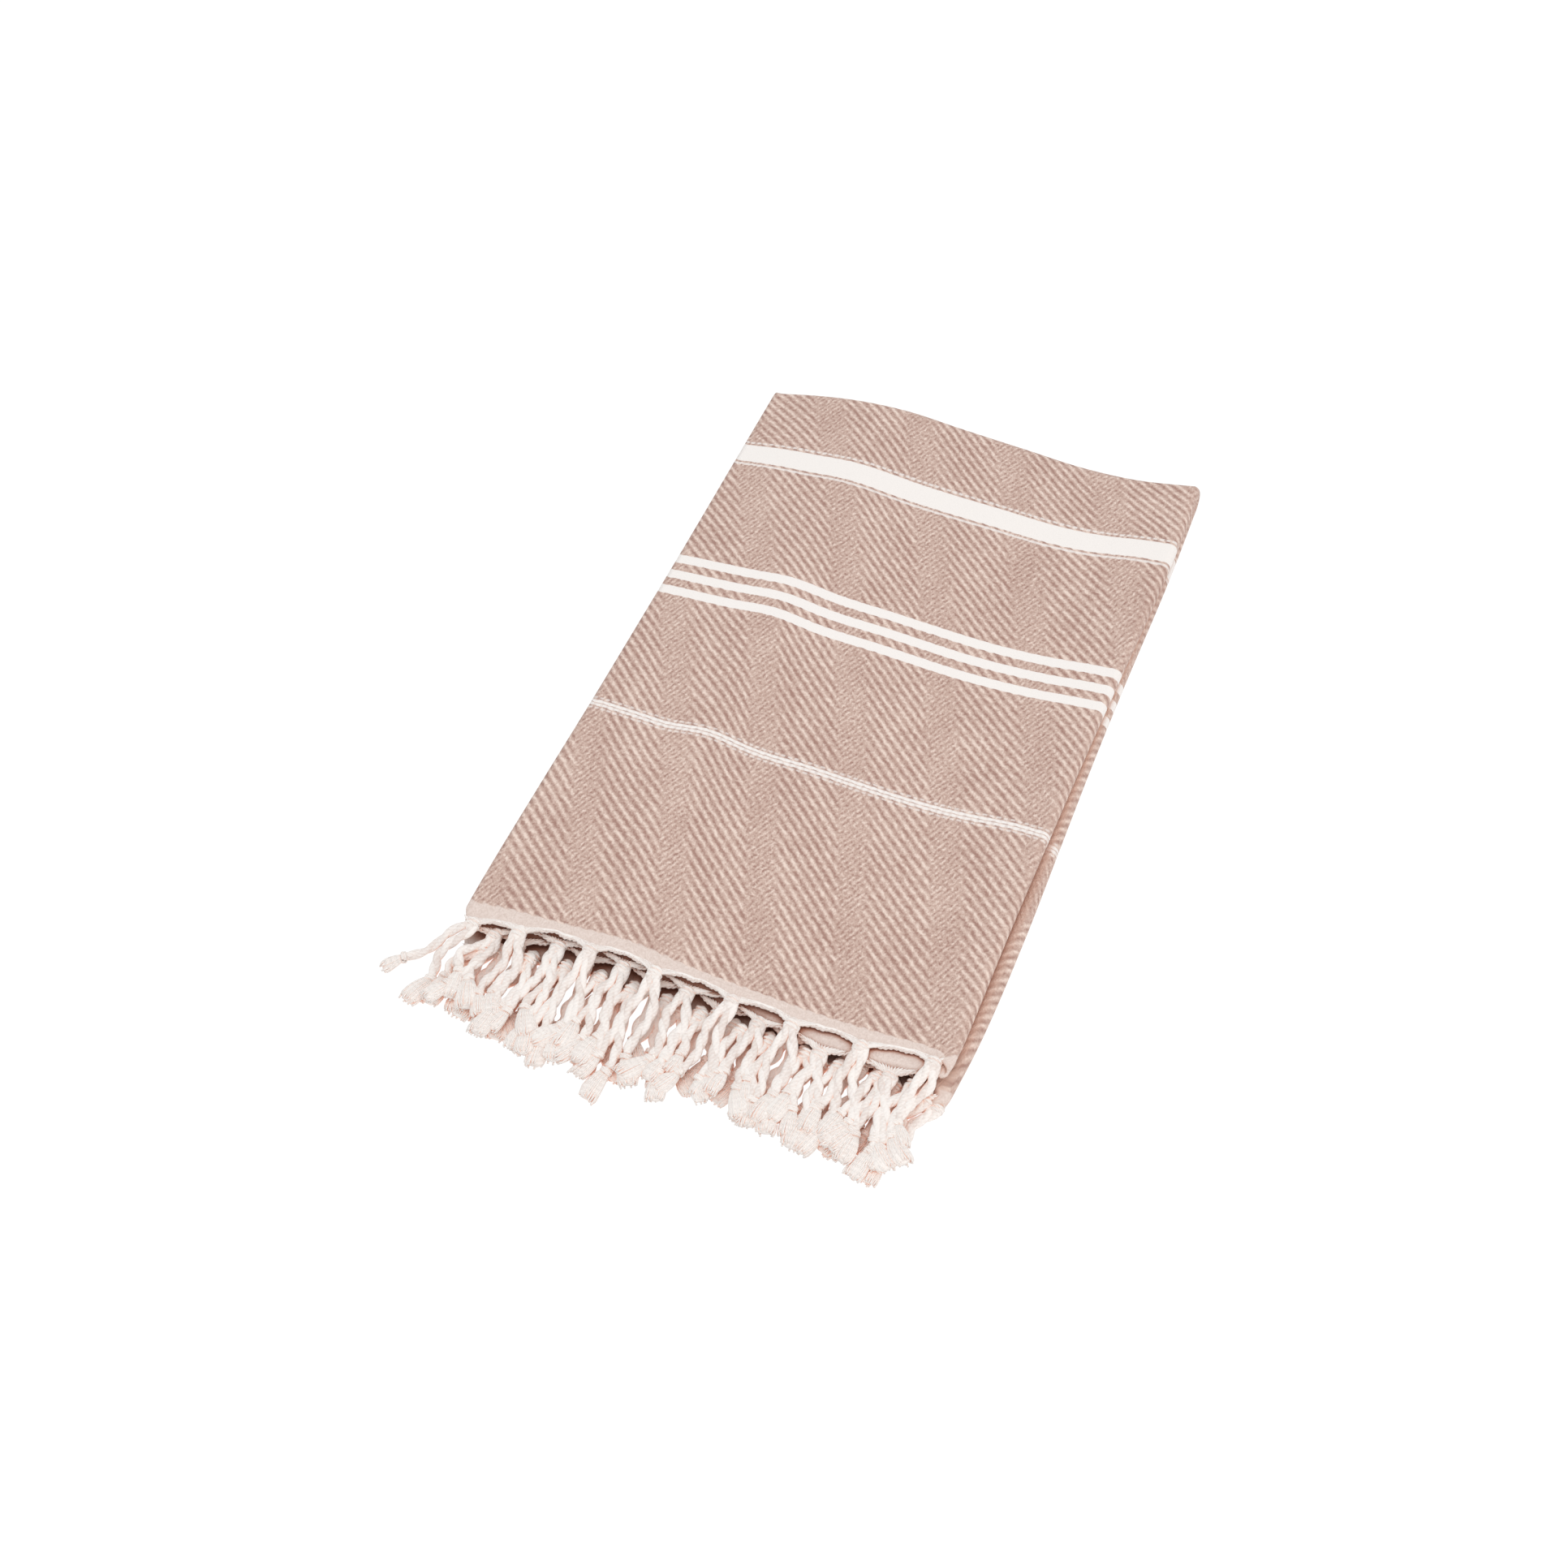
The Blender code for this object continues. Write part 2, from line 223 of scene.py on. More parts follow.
LOW_ROW = (
    (-105.0, -110.0, -244.0, -103.5, -248.0),
    (-87.5, -92.0, -247.0, -85.0, -252.0),
    (-70.0, -76.0, -250.0, -69.5, -257.0),
    (-52.0, -57.0, -252.0, -50.5, -247.0),
    (-34.0, -38.5, -250.0, -33.0, -258.0),
    (-16.0, -20.0, -256.0, -13.5, -249.0),
    (1.5, -2.0, -248.0, 4.5, -253.0),
    (19.0, 16.5, -250.0, 22.5, -245.0),
    (36.5, 32.0, -245.0, 38.0, -252.0),
    (54.5, 51.0, -253.0, 57.5, -248.0),
    (72.0, 69.5, -249.0, 76.0, -255.0),
    (89.5, 86.0, -250.0, 92.0, -257.0),
    (107.0, 101.0, -257.0, 109.0, -250.0),
    (120.5, 109.5, -263.0, 114.5, -250.0),
)
# Whether a row is in the upper bundle, its layer, the y of its hem, its share of the setback, the
# rise of its edge, the y and z of its knots, and the knots.
Row = namedtuple("Row", "upper layer hem setback rise knot_y knot_z knots")
FRINGES = {
    "fringe_top": Row(True, OUTER_LAYER, HEM_TOP[0], 0.0, 0.0, -210.5, 14.6, TOP_ROW),
    "fringe_second": Row(True, FACING_LAYER, HEM_TOP[1], 1.0, 3.8, -219.0, 9.3, SECOND_ROW),
    "fringe_third": Row(False, FACING_LAYER, HEM_LOW[1], 0.5, 0.5, -216.0, 4.9, THIRD_ROW),
    "fringe_bottom": Row(False, OUTER_LAYER, HEM_LOW[0], 0.0, 0.0, -218.5, 2.35, BOTTOM_ROW),
    "inner_middle": Row(True, FACING_LAYER, HEM_TOP[2], 0.0, 0.0, -219.5, 7.2, MIDDLE_ROW),
    "inner_low": Row(False, INSIDE_LAYER, HEM_LOW[2], 0.0, 0.0, -215.5, 3.4, LOW_ROW),
}
# Rows of each piece. The first one is named as the CAD node that the piece replaces.
PIECES = {
    "top_fringe": ("fringe_top",),
    "second_fringe": ("fringe_second", "inner_middle"),
    "third_fringe": ("fringe_third", "inner_low"),
    "bottom_fringe": ("fringe_bottom",),
}
INNER_ROWS = ("inner_middle", "inner_low")
FLOOR_ROWS = ("fringe_third", "fringe_bottom", "inner_low")
# Strands whose tips are farther left than this lie on their own, at this height.
LONE_TIP_X = -121.0
LONE_TIP_Z = 3.0
# Strands whose tips are farther left than this run straight.
STRAIGHT_TIP_X = -140.0

# Yarns of the fringe. Shades run from 0, dark, to 1, light.
YARN_SIDES = 6
BODY_SIDES = 12
TAPER_STEPS = 3
# Up to this z of its direction a path's sides are level. A steeper one has them square to Y.
STEEP = 0.9
RIM_ENDS = (-124.0, 119.5)
RIM_STEPS = 280
RIM_THREADS = 2
RIM_RADIUS = 0.55
RIM_SPREAD = 0.45
RIM_PITCH = 5.0
RIM_SHADES = (0.0, 0.4)
# Warp yarns that gather from the hem into a knot.
FAN_YARNS = 15
FAN_STEPS = 9
FAN_SPACING = 1.7
FAN_RADIUS = 0.6
FAN_VARIES = (0.85, 1.15)
FAN_SHADES = (0.4, 1.0)
FAN_LIFT = 0.45
FAN_END_LIFT = 0.5
# Share of its spread that a fan keeps at its knot, and of its yarns' radius that starts them.
FAN_CLOSED = 0.12
FAN_POINT = 0.2
# Strands of twisted plies.
PLIES = 2
PLY_SIDES = 8
PLY_RADIUS = 1.9
PLY_SPREAD = 0.85
PLY_VARIES = 0.08
PLY_PITCH = 19.0
PITCH_VARIES = (0.85, 1.25)
PLY_SHADES = (0.3, 1.0)
PLY_YARNS = 4
PLY_TWIST = 11.0
STRAND_FLAT = 0.72
STEPS_PER_STRAND = 44
# Share of a strand at which its twist ends in a knot.
TWIST_END = 0.8
# A strand bends by so much, in so many turns, from this share of its length on.
BOW = (0.8, 2.8)
BOW_TURNS = (0.8, 1.5)
BOW_START = 0.3
# Shares of a strand's length over which it goes aside, comes down, and does so on its own.
ASIDE_SHARE = 0.55
DROP_SHARE = 0.42
LONE_DROP_SHARE = 0.65

# Brushes of loose ends past the last knot, round a core.
BRUSH_YARNS = 26
BRUSH_SIDES = 5
BRUSH_SIZES = (0.72, 1.15)
BRUSH_RADIUS = 0.6
BRUSH_FLAT = 0.5
BRUSH_LENGTH = 14.0
BRUSH_TURN = 0.3
BRUSH_BOW = 1.4
BRUSH_SAG = 0.6
CORE_SHADES = (0.5, 0.9)
END_SHADES = (0.7, 1.0)
# Loose ends: how far they stray in their order, out from the core, in length and aside, and the
# share of their radius that is left at their tips.
END_ORDER = 0.3
END_DEPTH = (0.82, 0.96)
END_LENGTH = (-1.4, 0.8)
END_STRAY = 0.3
END_POINT = 0.8
# Brush of loose ends: share of its length, half its width, half the width of its core.
BRUSH_PROFILE = (
    (0.0, 2.2, 2.2),
    (0.2, 3.5, 3.5),
    (0.45, 4.6, 4.6),
    (0.7, 5.1, 5.0),
    (0.88, 4.9, 4.4),
    (1.0, 4.2, 2.4),
)
# Knots: half their length, half their width, height as a share of the width.
HEM_KNOT = (4.6, 3.7, 0.66)
END_KNOT = (2.2, 2.7, 0.75)
KNOT_STEPS = 11
# Shares of a knot's half width that its body fills, that its wraps lie at, and that keeps it
# off the floor, and the least of its section that is left at its ends.
KNOT_BODY = 0.92
WRAPS_AT = 0.9
KNOT_REST = 0.9
KNOT_END = 0.04
KNOT_SHADES = (0.4, 0.8)
# Wraps of yarn over a knot: how far along it they go, and how they follow its curve.
WRAP_RADIUS = 0.85
WRAP_TURNS = 2.2
WRAP_STEPS = 40
WRAP_RUN = 1.1
WRAP_CURVE = 0.9
WRAP_POINT = 0.4
WRAP_SHADES = (0.5, 1.0)

# Stripes: y of the middle and half the width.
BANDS = (
    (150.0, 7.5),
    (55.0, 3.2),
    (42.6, 3.2),
    (30.2, 3.2),
)
BAND_SOFT = 0.3
# Thin white lines: y of the middle, half the width, strength, share of it lost between the dots.
HAIRLINES = (
    (159.8, 0.8, 0.75, 0.7),
    (140.2, 0.8, 0.8, 0.2),
    (-58.5, 0.6, 0.6, 0.8),
    (-60.9, 0.9, 1.0, 0.15),
    (-63.2, 0.9, 0.95, 0.25),
    (-65.6, 0.6, 0.6, 0.8),
)
HAIRLINE_SOFT = 0.4
# Heading: x, how far from the hem the twill begins, on the top layer, the second and the others.
TOP_HEADING = (
    (-125.0, 5.5),
    (-106.0, 4.4),
    (-76.0, 2.6),
    (-41.0, 3.9),
    (-4.0, 2.1),
    (31.0, 2.0),
    (64.0, 2.4),
    (98.0, 1.8),
    (110.0, 0.8),
    (118.0, -1.5),
    (125.0, -5.0),
)
# On the second layer the twill reaches almost to the hem at the left and middle, where that layer
# lies in the slots under the top layer. This puts darker weave there in place of the cream
# heading, as painted shade. At the right, where the layer shows in the open, its heading is cream.
SECOND_HEADING_WITH_PAINTED_SHADE = (
    (-125.0, -4.0),
    (10.0, -4.0),
    (40.0, 5.0),
    (104.0, 9.0),
    (121.0, 13.5),
)
HEADING = (
    (-125.0, 9.0),
    (104.0, 8.0),
    (112.0, 5.0),
    (121.0, 1.0),
)
LEAST_HEADING = 0.5
# The weave ends past the hem: at this share of the way to the rim and so much farther, and so far
# past a hem that is hidden.
BARE_SHARE = 0.5
BARE_FARTHER = 0.6
INNER_BARE = 1.0
# On the right fold the weave runs on towards the rim: from this x, over this length, this far.
WOVEN_START = 112.0
WOVEN_RUN = 9.0
WOVEN_REACH = 6.0
# How much farther the weave runs on a layer that is set back in full.
WOVEN_BACK = 1.5

# Unevenness of the weave, in grains to a mm across and along the cloth, from coarse to fine.
PATCHES = (0.045, 0.03)
JITTER = (0.22, 0.22)
BEADS = (0.5, 0.45)
GRAIN = (1.3, 0.9)
# Waves over the cloth, in turns to a mm across it, to a mm along it and by the jitter: the twill,
# the direction down it, the diagonals the other way in the faint zones and the hairlines' dots.
TWILL = (0.15, 0.17, 0.09)
DOWN_TWILL = (0.17, -0.15, 0.0)
COUNTER_TWILL = (0.35, -0.16, 0.25)
DOTS = (0.28, 0.0, 0.1)
# Dashes to a turn of the twill and of the direction down it.
DASHES = (1.6, 1.1)
# Heights of the dots' wave at which the gaps between them begin and are open.
DOT_GAPS = (0.2, -0.8)

# Zones of strong diagonals between faint ones: their slant, how they spread along the cloth, how
# far they are shifted, steadily and by the jitter, how wide they are, and the shares of that
# width over which they fade in and out.
ZONE_SLANT = 0.398
ZONE_FAN = -0.00042
ZONE_SHIFT = -0.162
ZONE_JITTER = 1.6
ZONE_WIDTH = 50.3
ZONE_IN = (0.03, 0.20)
ZONE_OUT = (0.74, 0.84)
# How strong the diagonals are in a zone, steadily and by their dashes, the beads and the grain.
Zone = namedtuple("Zone", "steady dashed beads grain")
STRONG_ZONE = Zone(0.72, 0.5, 0.45, 0.4)
FAINT_ZONE = Zone(0.36, 0.4, 0.55, 0.5)
TWILL_IN_FAINT = 0.1
PATCH_TONE = 0.2
# Tones at which dark weft turns to the mean, and the mean to light weft.
DARK_TO_MEAN = (-1.15, 0.2)
MEAN_TO_LIGHT = (-0.1, 1.25)
# The right fold across the cloth, from the left end: its middle, half its length, how softly it
# ends, and how much of its contrast the weave loses there.
RIGHT_ROLL = (126.0, 6.0, 4.0)
ROLL_FADES = 0.15
# How far the twill and the beads shift the edges of stripes, in mm, and of the heading and the
# bare yarns, in shares of the heading.
STRIPE_SHIFT = (0.12, 0.2)
HEADING_SHIFT = (0.06, 0.05)
BARE_SHIFT = (0.0, 0.04)
# Shares of the heading, from 0 at its hem side to 1 at the twill, where it begins and is full,
# and where the bare yarns begin and are.
HEADING_FADE = (1.08, 0.92)
BARE_FADE = (0.05, -0.05)
# Tone of the heading's plain weave: its beads, its grain, and from dark to light.
PLAIN_BEADS = 0.4
PLAIN_GRAIN = 0.5
PLAIN_TONES = (-1.1, 1.1)
# Bump of the cloth: height in mm and strength, share of the grain in it, and how much of it the
# twill loses in white stripes and headings.
CLOTH_BUMP = (0.4, 0.4)
GRAIN_BUMP = 0.2
PLAIN_FADES = 0.75

# Colours, linear.
WEFT_DARK = (0.33, 0.195, 0.16, 1.0)
WEFT_MEAN = (0.505, 0.365, 0.31, 1.0)
WEFT_LIGHT = (0.72, 0.59, 0.52, 1.0)
BAND_WHITE = (0.77, 0.735, 0.71, 1.0)
HEADING_DARK = (0.56, 0.455, 0.405, 1.0)
HEADING_LIGHT = (0.71, 0.615, 0.57, 1.0)
# Painted shade on the cloth: a darker, redder tint where it is enclosed between layers, a deep one
# in the narrowest gaps, and a warm one in the right fold's groove.
WEFT_PAINTED_SHADE = (0.45, 0.22, 0.15, 1.0)
WEFT_PAINTED_DEEP_SHADE = (0.27, 0.095, 0.055, 1.0)
WEFT_PAINTED_FOLD_SHADE = (0.64, 0.41, 0.32, 1.0)
YARN_LIGHT = (0.80, 0.76, 0.73, 1.0)
YARN_SHADE = (0.66, 0.58, 0.54, 1.0)
# Painted light and shade on the yarns: a warm tint, lighter than the yarn, where yarns are
# enclosed between strands (painted bounce light), and a redder, darker one in the narrowest gaps
# (painted shade).
YARN_PAINTED_SHADE = (0.96, 0.80, 0.72, 1.0)
YARN_PAINTED_DEEP_SHADE = (0.97, 0.56, 0.42, 1.0)

# How far round it the openness of a place counts, and where each tint of painted shade begins and
# is full.
CLOTH_REACH = 8.0
CLOTH_PAINTED_SHADE = (0.80, 0.50)
CLOTH_PAINTED_DEEP_SHADE = (0.60, 0.28)
CLOTH_PAINTED_FOLD_SHADE = (0.95, 0.50)
YARN_REACH = 9.0
STRAND_PAINTED_SHADE = (0.75, 0.25)
STRAND_PAINTED_DEEP_SHADE = (0.36, 0.06)
# Specks on the yarns: to a turn round them, to a mm along them, and from one shade to the next.
SPECKS = (5.0, 1.2, 31.0)
# How much the specks and the twisted thread lighten a yarn, and its shades from dark to light.
SPECK_TONE = 0.3
THREAD_TONE = 0.15
SHADE_TO_LIGHT = (-0.1, 1.05)
# Bump of the yarns: height in mm and strength, and share of the specks in it.
YARN_BUMP = (0.12, 0.5)
SPECK_BUMP = 0.5
# Cloth and yarns: how far noise is spread out, its detail, samples of the openness, the shine.
NOISE_GAIN = 4.0
COARSE_DETAIL = 2.0
FINE_DETAIL = 1.0
OPENNESS_SAMPLES = 6
CLOTH_ROUGHNESS = 0.92
YARN_ROUGHNESS = 0.95
SPECULAR = 0.2
SHEEN = 0.1
SHEEN_ROUGHNESS = 0.6

# Camera, at the photograph's angle.
AZIMUTH = math.radians(21.43)
ELEVATION = math.radians(49.38)
DISTANCE = 1236.0
AIM = (-10.0, -76.0, 15.85)
LENS = 56.07
SENSOR = 36.0
NEAR_CLIP = 0.05
FAR_CLIP = 20.0

# Stage, in metres.
FLOOR_HALF = 6.0
FLOOR_Z = -0.0003
FLOOR_COLOUR = (0.05, 0.05, 0.05, 1.0)
WHITE = (1.0, 1.0, 1.0, 1.0)
# Soft round lights: name, place, size, power, colour.
LIGHTS = (
    ("key", (0.1, -0.5, 1.9), 1.4, 8.5, (1.0, 1.0, 1.0)),
    ("fill", (1.2, -0.8, 0.4), 1.0, 3.0, (1.0, 0.84, 0.74)),
)


def smooth(value):
    """0 up to 0, 1 from 1 on and smooth between."""
    share = np.clip(value, 0.0, 1.0)
    return share * share * (3.0 - 2.0 * share)


def curve(table, index):
    """Smooth function through one column of a table whose first column is the place."""
    rows = np.array(sorted(table))
    knots, values = rows[:, 0], rows[:, index]
    slopes = np.gradient(values, knots)

    def at(place):
        place = np.clip(place, knots[0], knots[-1])
        cell = np.clip(np.searchsorted(knots, place) - 1, 0, len(knots) - 2)
        width = knots[cell + 1] - knots[cell]
        t = (place - knots[cell]) / width
        rise = values[cell + 1] - values[cell]
        start, end = slopes[cell] * width, slopes[cell + 1] * width
        return values[cell] + t * (start + t * ((3 * rise - 2 * start - end)
                                                + t * (start + end - 2 * rise)))

    return at


wave_at = curve(COLUMNS, 1)
flare_at = curve(COLUMNS, 2)
rise_at = curve(SWELL, 1)
push_at = curve(SWELL, 2)
edge_at = [curve(EDGES, index) for index in range(1, len(EDGES[0]))]


def settle(points):
    """Move points of the plain folded stack to where the uneven towel lies."""
    x, y, z = np.asarray(points, float).T
    upper = z > MID_PLANE
    right = np.where(upper, edge_at[0](y), edge_at[1](y))
    left = np.where(upper, edge_at[2](y), edge_at[3](y))
    wave = wave_at(x)
    moved_x = x + right * smooth(x / RIGHT_FOLD) + left * smooth(-x / RIGHT_FOLD)
    return np.stack([moved_x, y + push_at(y) * wave, z * (1.0 + rise_at(y) * wave)], axis=1)


def drift(x, y):
    """How far the weave has wandered at columns x, for rows of y."""
    inner = [curve(DRIFT, index)(x) for index in range(1, len(DRIFT_STOPS) - 1)]
    stops = np.array([np.zeros_like(x), *inner, np.zeros_like(x)])
    return np.column_stack([np.interp(y[:, column], DRIFT_STOPS, stops[:, column])
                            for column in range(len(x))])


def flare(x, upper):
    """How far a bundle sticks out at x: the lower one does at its near right corner."""
    return np.zeros_like(x) if upper else flare_at(x)


def layer_z(row):
    """Height of the middle of a row's layer."""
    return MID_PLANE + (1 if row.upper else -1) * row.layer * PITCH


def setback_of(x, row):
    """How far a row's hem and knots are set back at x."""
    return row.setback * curve(SETBACK, 1)(x)


def rise_of(x, row):
    """How far the edge of a row's layer rises at x."""
    return row.rise * curve(SETBACK, 2)(x)


def towards_knot(x, row):
    """How near x is to a knot, from 0 to 1, and how far away that knot is."""
    knots = np.array([knot[0] for knot in row.knots])
    nearest = knots[np.abs(x[:, None] - knots).argmin(axis=1)]
    return np.maximum(0.0, 1.0 - np.abs(nearest - x) / REACH), nearest - x


def stray(x, row):
    """How far the rim of a row strays from its scallops at x."""
    slow, slow_pace = SLOW_STRAY
    quick, quick_pace = QUICK_STRAY
    return (slow * np.sin(slow_pace * x + row.layer)
            + quick * np.sin(quick_pace * x + 2.0 * row.knot_y))


def rim(x, row):
    """Where the scalloped hem ends at x: its y, and how far it moves up and along to the knot."""
    share, aside = towards_knot(x, row)
    rise = rise_of(x, row)
    drawn = share * (row.hem - row.knot_y - STRIP_DEPTH)
    depth = STRIP_DEPTH + drawn + stray(x, row) * (1.0 - share)
    lift = rise + share * (row.knot_z - layer_z(row) - rise)
    return row.hem + setback_of(x, row) - depth, lift, share * aside * GATHER


def bare_from(x, row):
    """How far from the hem the weave ends at x and loose yarns begin, below 0 past the hem."""
    depth = row.hem + setback_of(x, row) - rim(x, row)[0]
    return np.minimum(-BARE_FARTHER - BARE_SHARE * depth, 0.0)


# ---- Cloth ----

def snapped(x, row):
    """Columns with the nearest one moved onto each knot."""
    x = x.copy()
    for knot in row.knots:
        x[np.abs(x - knot[0]).argmin()] = knot[0]
    return x


def fringed_line(x, facing, row, heading):
    """One layer across the stack whose hem shows: x, height, normal, then what its hem does."""
    still = np.zeros_like(x)
    bare = (bare_from(x, row) - WOVEN_BACK * row.setback
            - WOVEN_REACH * smooth((x - WOVEN_START) / WOVEN_RUN))
    weave_side = np.maximum(curve(heading, 1)(x), bare + LEAST_HEADING)
    return np.column_stack([x, still + row.layer * PITCH, still, still + facing,
                            row.hem + setback_of(x, row), *rim(x, row), rise_of(x, row),
                            weave_side, bare])


def inner_line(x, layer, facing, hem):
    """One layer across the stack whose hem is hidden."""
    still = np.zeros_like(x)
    return np.column_stack([x, still + layer * PITCH, still, still + facing, still + hem,
                            still + hem, still, still, still, curve(HEADING, 1)(x),
                            still - INNER_BARE])


def bend(fold_x, first, last, turn, side, steps):
    """Fold from one layer to another: an arc of half a turn, without its ends."""
    middle = (first + last) / 2 * PITCH
    radius = abs(first - last) / 2 * PITCH
    start = math.pi / 2 if first > last else -math.pi / 2
    angle = start + turn * math.pi * np.linspace(0.0, 1.0, steps + 1)[1:-1]
    across, up = np.cos(angle), np.sin(angle)
    return np.column_stack([fold_x + radius * across, middle + radius * up,
                            side * across, side * up, np.zeros((len(angle), HEM_COLUMNS))])


def join_layers(lines):
    """One line through layers and folds, whose hems run on from one layer to the next."""
    for index in range(1, len(lines), 2):
        before, after = lines[index - 1][-1, HEM_COLUMN:], lines[index + 1][0, HEM_COLUMN:]
        steps = len(lines[index])
        share = (np.arange(1, steps + 1) / (steps + 1))[:, None]
        lines[index][:, HEM_COLUMN:] = before + (after - before) * share
    return np.vstack(lines)


def bundle_section(hems, outer, facing, headings):
    """Centre line across one bundle of four layers, whose first two show their hems."""
    outer_x = snapped(np.linspace(LEFT, RIGHT_FOLD, OUTER_COLUMNS), outer)
    facing_x = snapped(np.linspace(RIGHT_FOLD, LEFT_FOLD, OUTER_COLUMNS), facing)
    inside_x = np.linspace(LEFT_FOLD, RIGHT_FOLD, INNER_COLUMNS)
    selvage_x = np.linspace(RIGHT_FOLD, INNER_SELVAGE, INNER_COLUMNS)
    return join_layers([
        fringed_line(outer_x, 1.0, outer, headings[0]),
        bend(RIGHT_FOLD, OUTER_LAYER, FACING_LAYER, -1, 1, ROLL_STEPS),
        fringed_line(facing_x, -1.0, facing, headings[1]),
        bend(LEFT_FOLD, FACING_LAYER, INSIDE_LAYER, -1, 1, CREASE_STEPS),
        inner_line(inside_x, INSIDE_LAYER, 1.0, hems[2]),
        bend(RIGHT_FOLD, INSIDE_LAYER, SELVAGE_LAYER, 1, -1, CREASE_STEPS),
        inner_line(selvage_x, SELVAGE_LAYER, -1.0, hems[3]),
    ])


def run_of_rows(line, upper, offset):
    """Points of one bundle, row by row from the rim to the far fold, and their y in the cloth."""
    x, height, normal_x, normal_h, hem, rim_y, lift, gather, rise = line.T[:TWILL_COLUMN]
    start, out = hem + HEM_START, flare(x, upper)
    stops = np.concatenate([np.linspace(0.0, 1.0, HEM_ROWS)[:-1], np.ones(ROWS)])
    run = np.concatenate([np.full(HEM_ROWS - 1, LAST_ROW), np.linspace(LAST_ROW, FAR_FOLD, ROWS)])
    side = 1 if upper else -1
    rows, cloth_y = [], []
    for stop, end in zip(stops, run):
        along = rim_y + (end - rim_y) * stop
        near = smooth((start - along) / np.maximum(start - rim_y, HEM_START))
        y = along - out * smooth((LAST_ROW - along) / (LAST_ROW - hem))
        risen = rise * smooth((RISE_START - along) / RISE_RUN)
        z = MID_PLANE + side * (height + offset * normal_h) + risen + (lift - rise) * near
        rows.append(np.column_stack([x + offset * normal_x + gather * near, y, z]))
        cloth_y.append(along)
    return rows, cloth_y


def turn_rows(line, offset):
    """Rows of the turn over the far fold."""
    x, height, normal_x, normal_h = line.T[:HEM_COLUMN]
    reach_out = height + offset * normal_h
    rows, cloth_y = [], []
    for angle in np.linspace(0.0, math.pi, TURN_STEPS + 1)[1:-1]:
        rows.append(np.column_stack([x + offset * normal_x, FAR_FOLD + reach_out * math.sin(angle),
                                     MID_PLANE + reach_out * math.cos(angle)]))
        length = OUTER_LAYER * PITCH * min(angle, math.pi - angle)
        cloth_y.append(np.full_like(x, FAR_FOLD + length))
    return rows, cloth_y


def cloth_surface(upper, lower, offset):
    """One face of the sheet, as rows of points, and the weave's coordinates there."""
    over, over_y = run_of_rows(upper, True, offset)
    turn, turn_y = turn_rows(upper, offset)
    under, under_y = run_of_rows(lower, False, offset)
    points = np.array([settle(row) for row in over + turn + under[::-1]])
    cloth_y = np.array(over_y + turn_y + under_y[::-1])
    weave_y = cloth_y - drift(upper[:, 0], cloth_y)
    across = LEFT + np.concatenate([[0.0], np.cumsum(np.hypot(*np.diff(upper[:, :2], axis=0).T))])
    half = len(points) // 2
    hem, weave_side, hem_side = (
        np.vstack([np.tile(upper[:, column], (half, 1)),
                   np.tile(lower[:, column], (len(points) - half, 1))])
        for column in (HEM_COLUMN, TWILL_COLUMN, BARE_COLUMN))
    heading = (cloth_y - hem - hem_side) / (weave_side - hem_side)
    marks = np.stack([np.tile(across, (len(points), 1)), weave_y, heading], axis=-1)
    return points, marks


def grid_faces(rows, columns):
    """Quads of a closed two-sided grid of rows by columns, sides one after the other."""
    index = np.arange(2 * rows * columns).reshape(2, rows, columns)
    top, bottom = index
    quads = [
        np.stack([top[:-1, :-1], top[:-1, 1:], top[1:, 1:], top[1:, :-1]], -1),
        np.stack([bottom[:-1, :-1], bottom[1:, :-1], bottom[1:, 1:], bottom[:-1, 1:]], -1),
        np.stack([top[:-1, 0], top[1:, 0], bottom[1:, 0], bottom[:-1, 0]], -1),
        np.stack([top[:-1, -1], bottom[:-1, -1], bottom[1:, -1], top[1:, -1]], -1),
        np.stack([top[0, :-1], bottom[0, :-1], bottom[0, 1:], top[0, 1:]], -1),
        np.stack([top[-1, :-1], top[-1, 1:], bottom[-1, 1:], bottom[-1, :-1]], -1),
    ]
    return np.vstack([quad.reshape(-1, 4) for quad in quads])


def add_object(name, data):
    """New object in the scene."""
    item = bpy.data.objects.new(name, data)
    bpy.context.scene.collection.objects.link(item)
    return item


def make_piece(name, points, faces, marks, domain, material):
    """Smooth mesh object in the frame's place, with the coordinates of its weave or yarn."""
    mesh = bpy.data.meshes.new(name)
    vertices = (points - (*MIDDLE, 0.0)) * MM
    mesh.from_pydata(vertices.tolist(), [], [tuple(face) for face in faces])
    mesh.attributes.new("marks", "FLOAT_VECTOR", domain).data.foreach_set(
        "vector", np.asarray(marks, np.float32).ravel())
    mesh.shade_smooth()
    mesh.materials.append(material)
    return add_object(name, mesh)


def build_towel():
    """The one sheet, through every layer and over the far fold."""
    upper = bundle_section(HEM_TOP, FRINGES["fringe_top"], FRINGES["fringe_second"],
                           (TOP_HEADING, SECOND_HEADING_WITH_PAINTED_SHADE))
    lower = bundle_section(HEM_LOW, FRINGES["fringe_bottom"], FRINGES["fringe_third"],
                           (HEADING, HEADING))
    outer, marks = cloth_surface(upper, lower, SHEET / 2)
    inner, _ = cloth_surface(upper, lower, -SHEET / 2)
    rows, columns = outer.shape[:2]
    points = np.concatenate([outer.reshape(-1, 3), inner.reshape(-1, 3)])
    both = np.concatenate([marks.reshape(-1, 3)] * 2)
    return make_piece("towel", points, grid_faces(rows, columns), both, "POINT",
                      weave_material())


# ---- Fringe ----

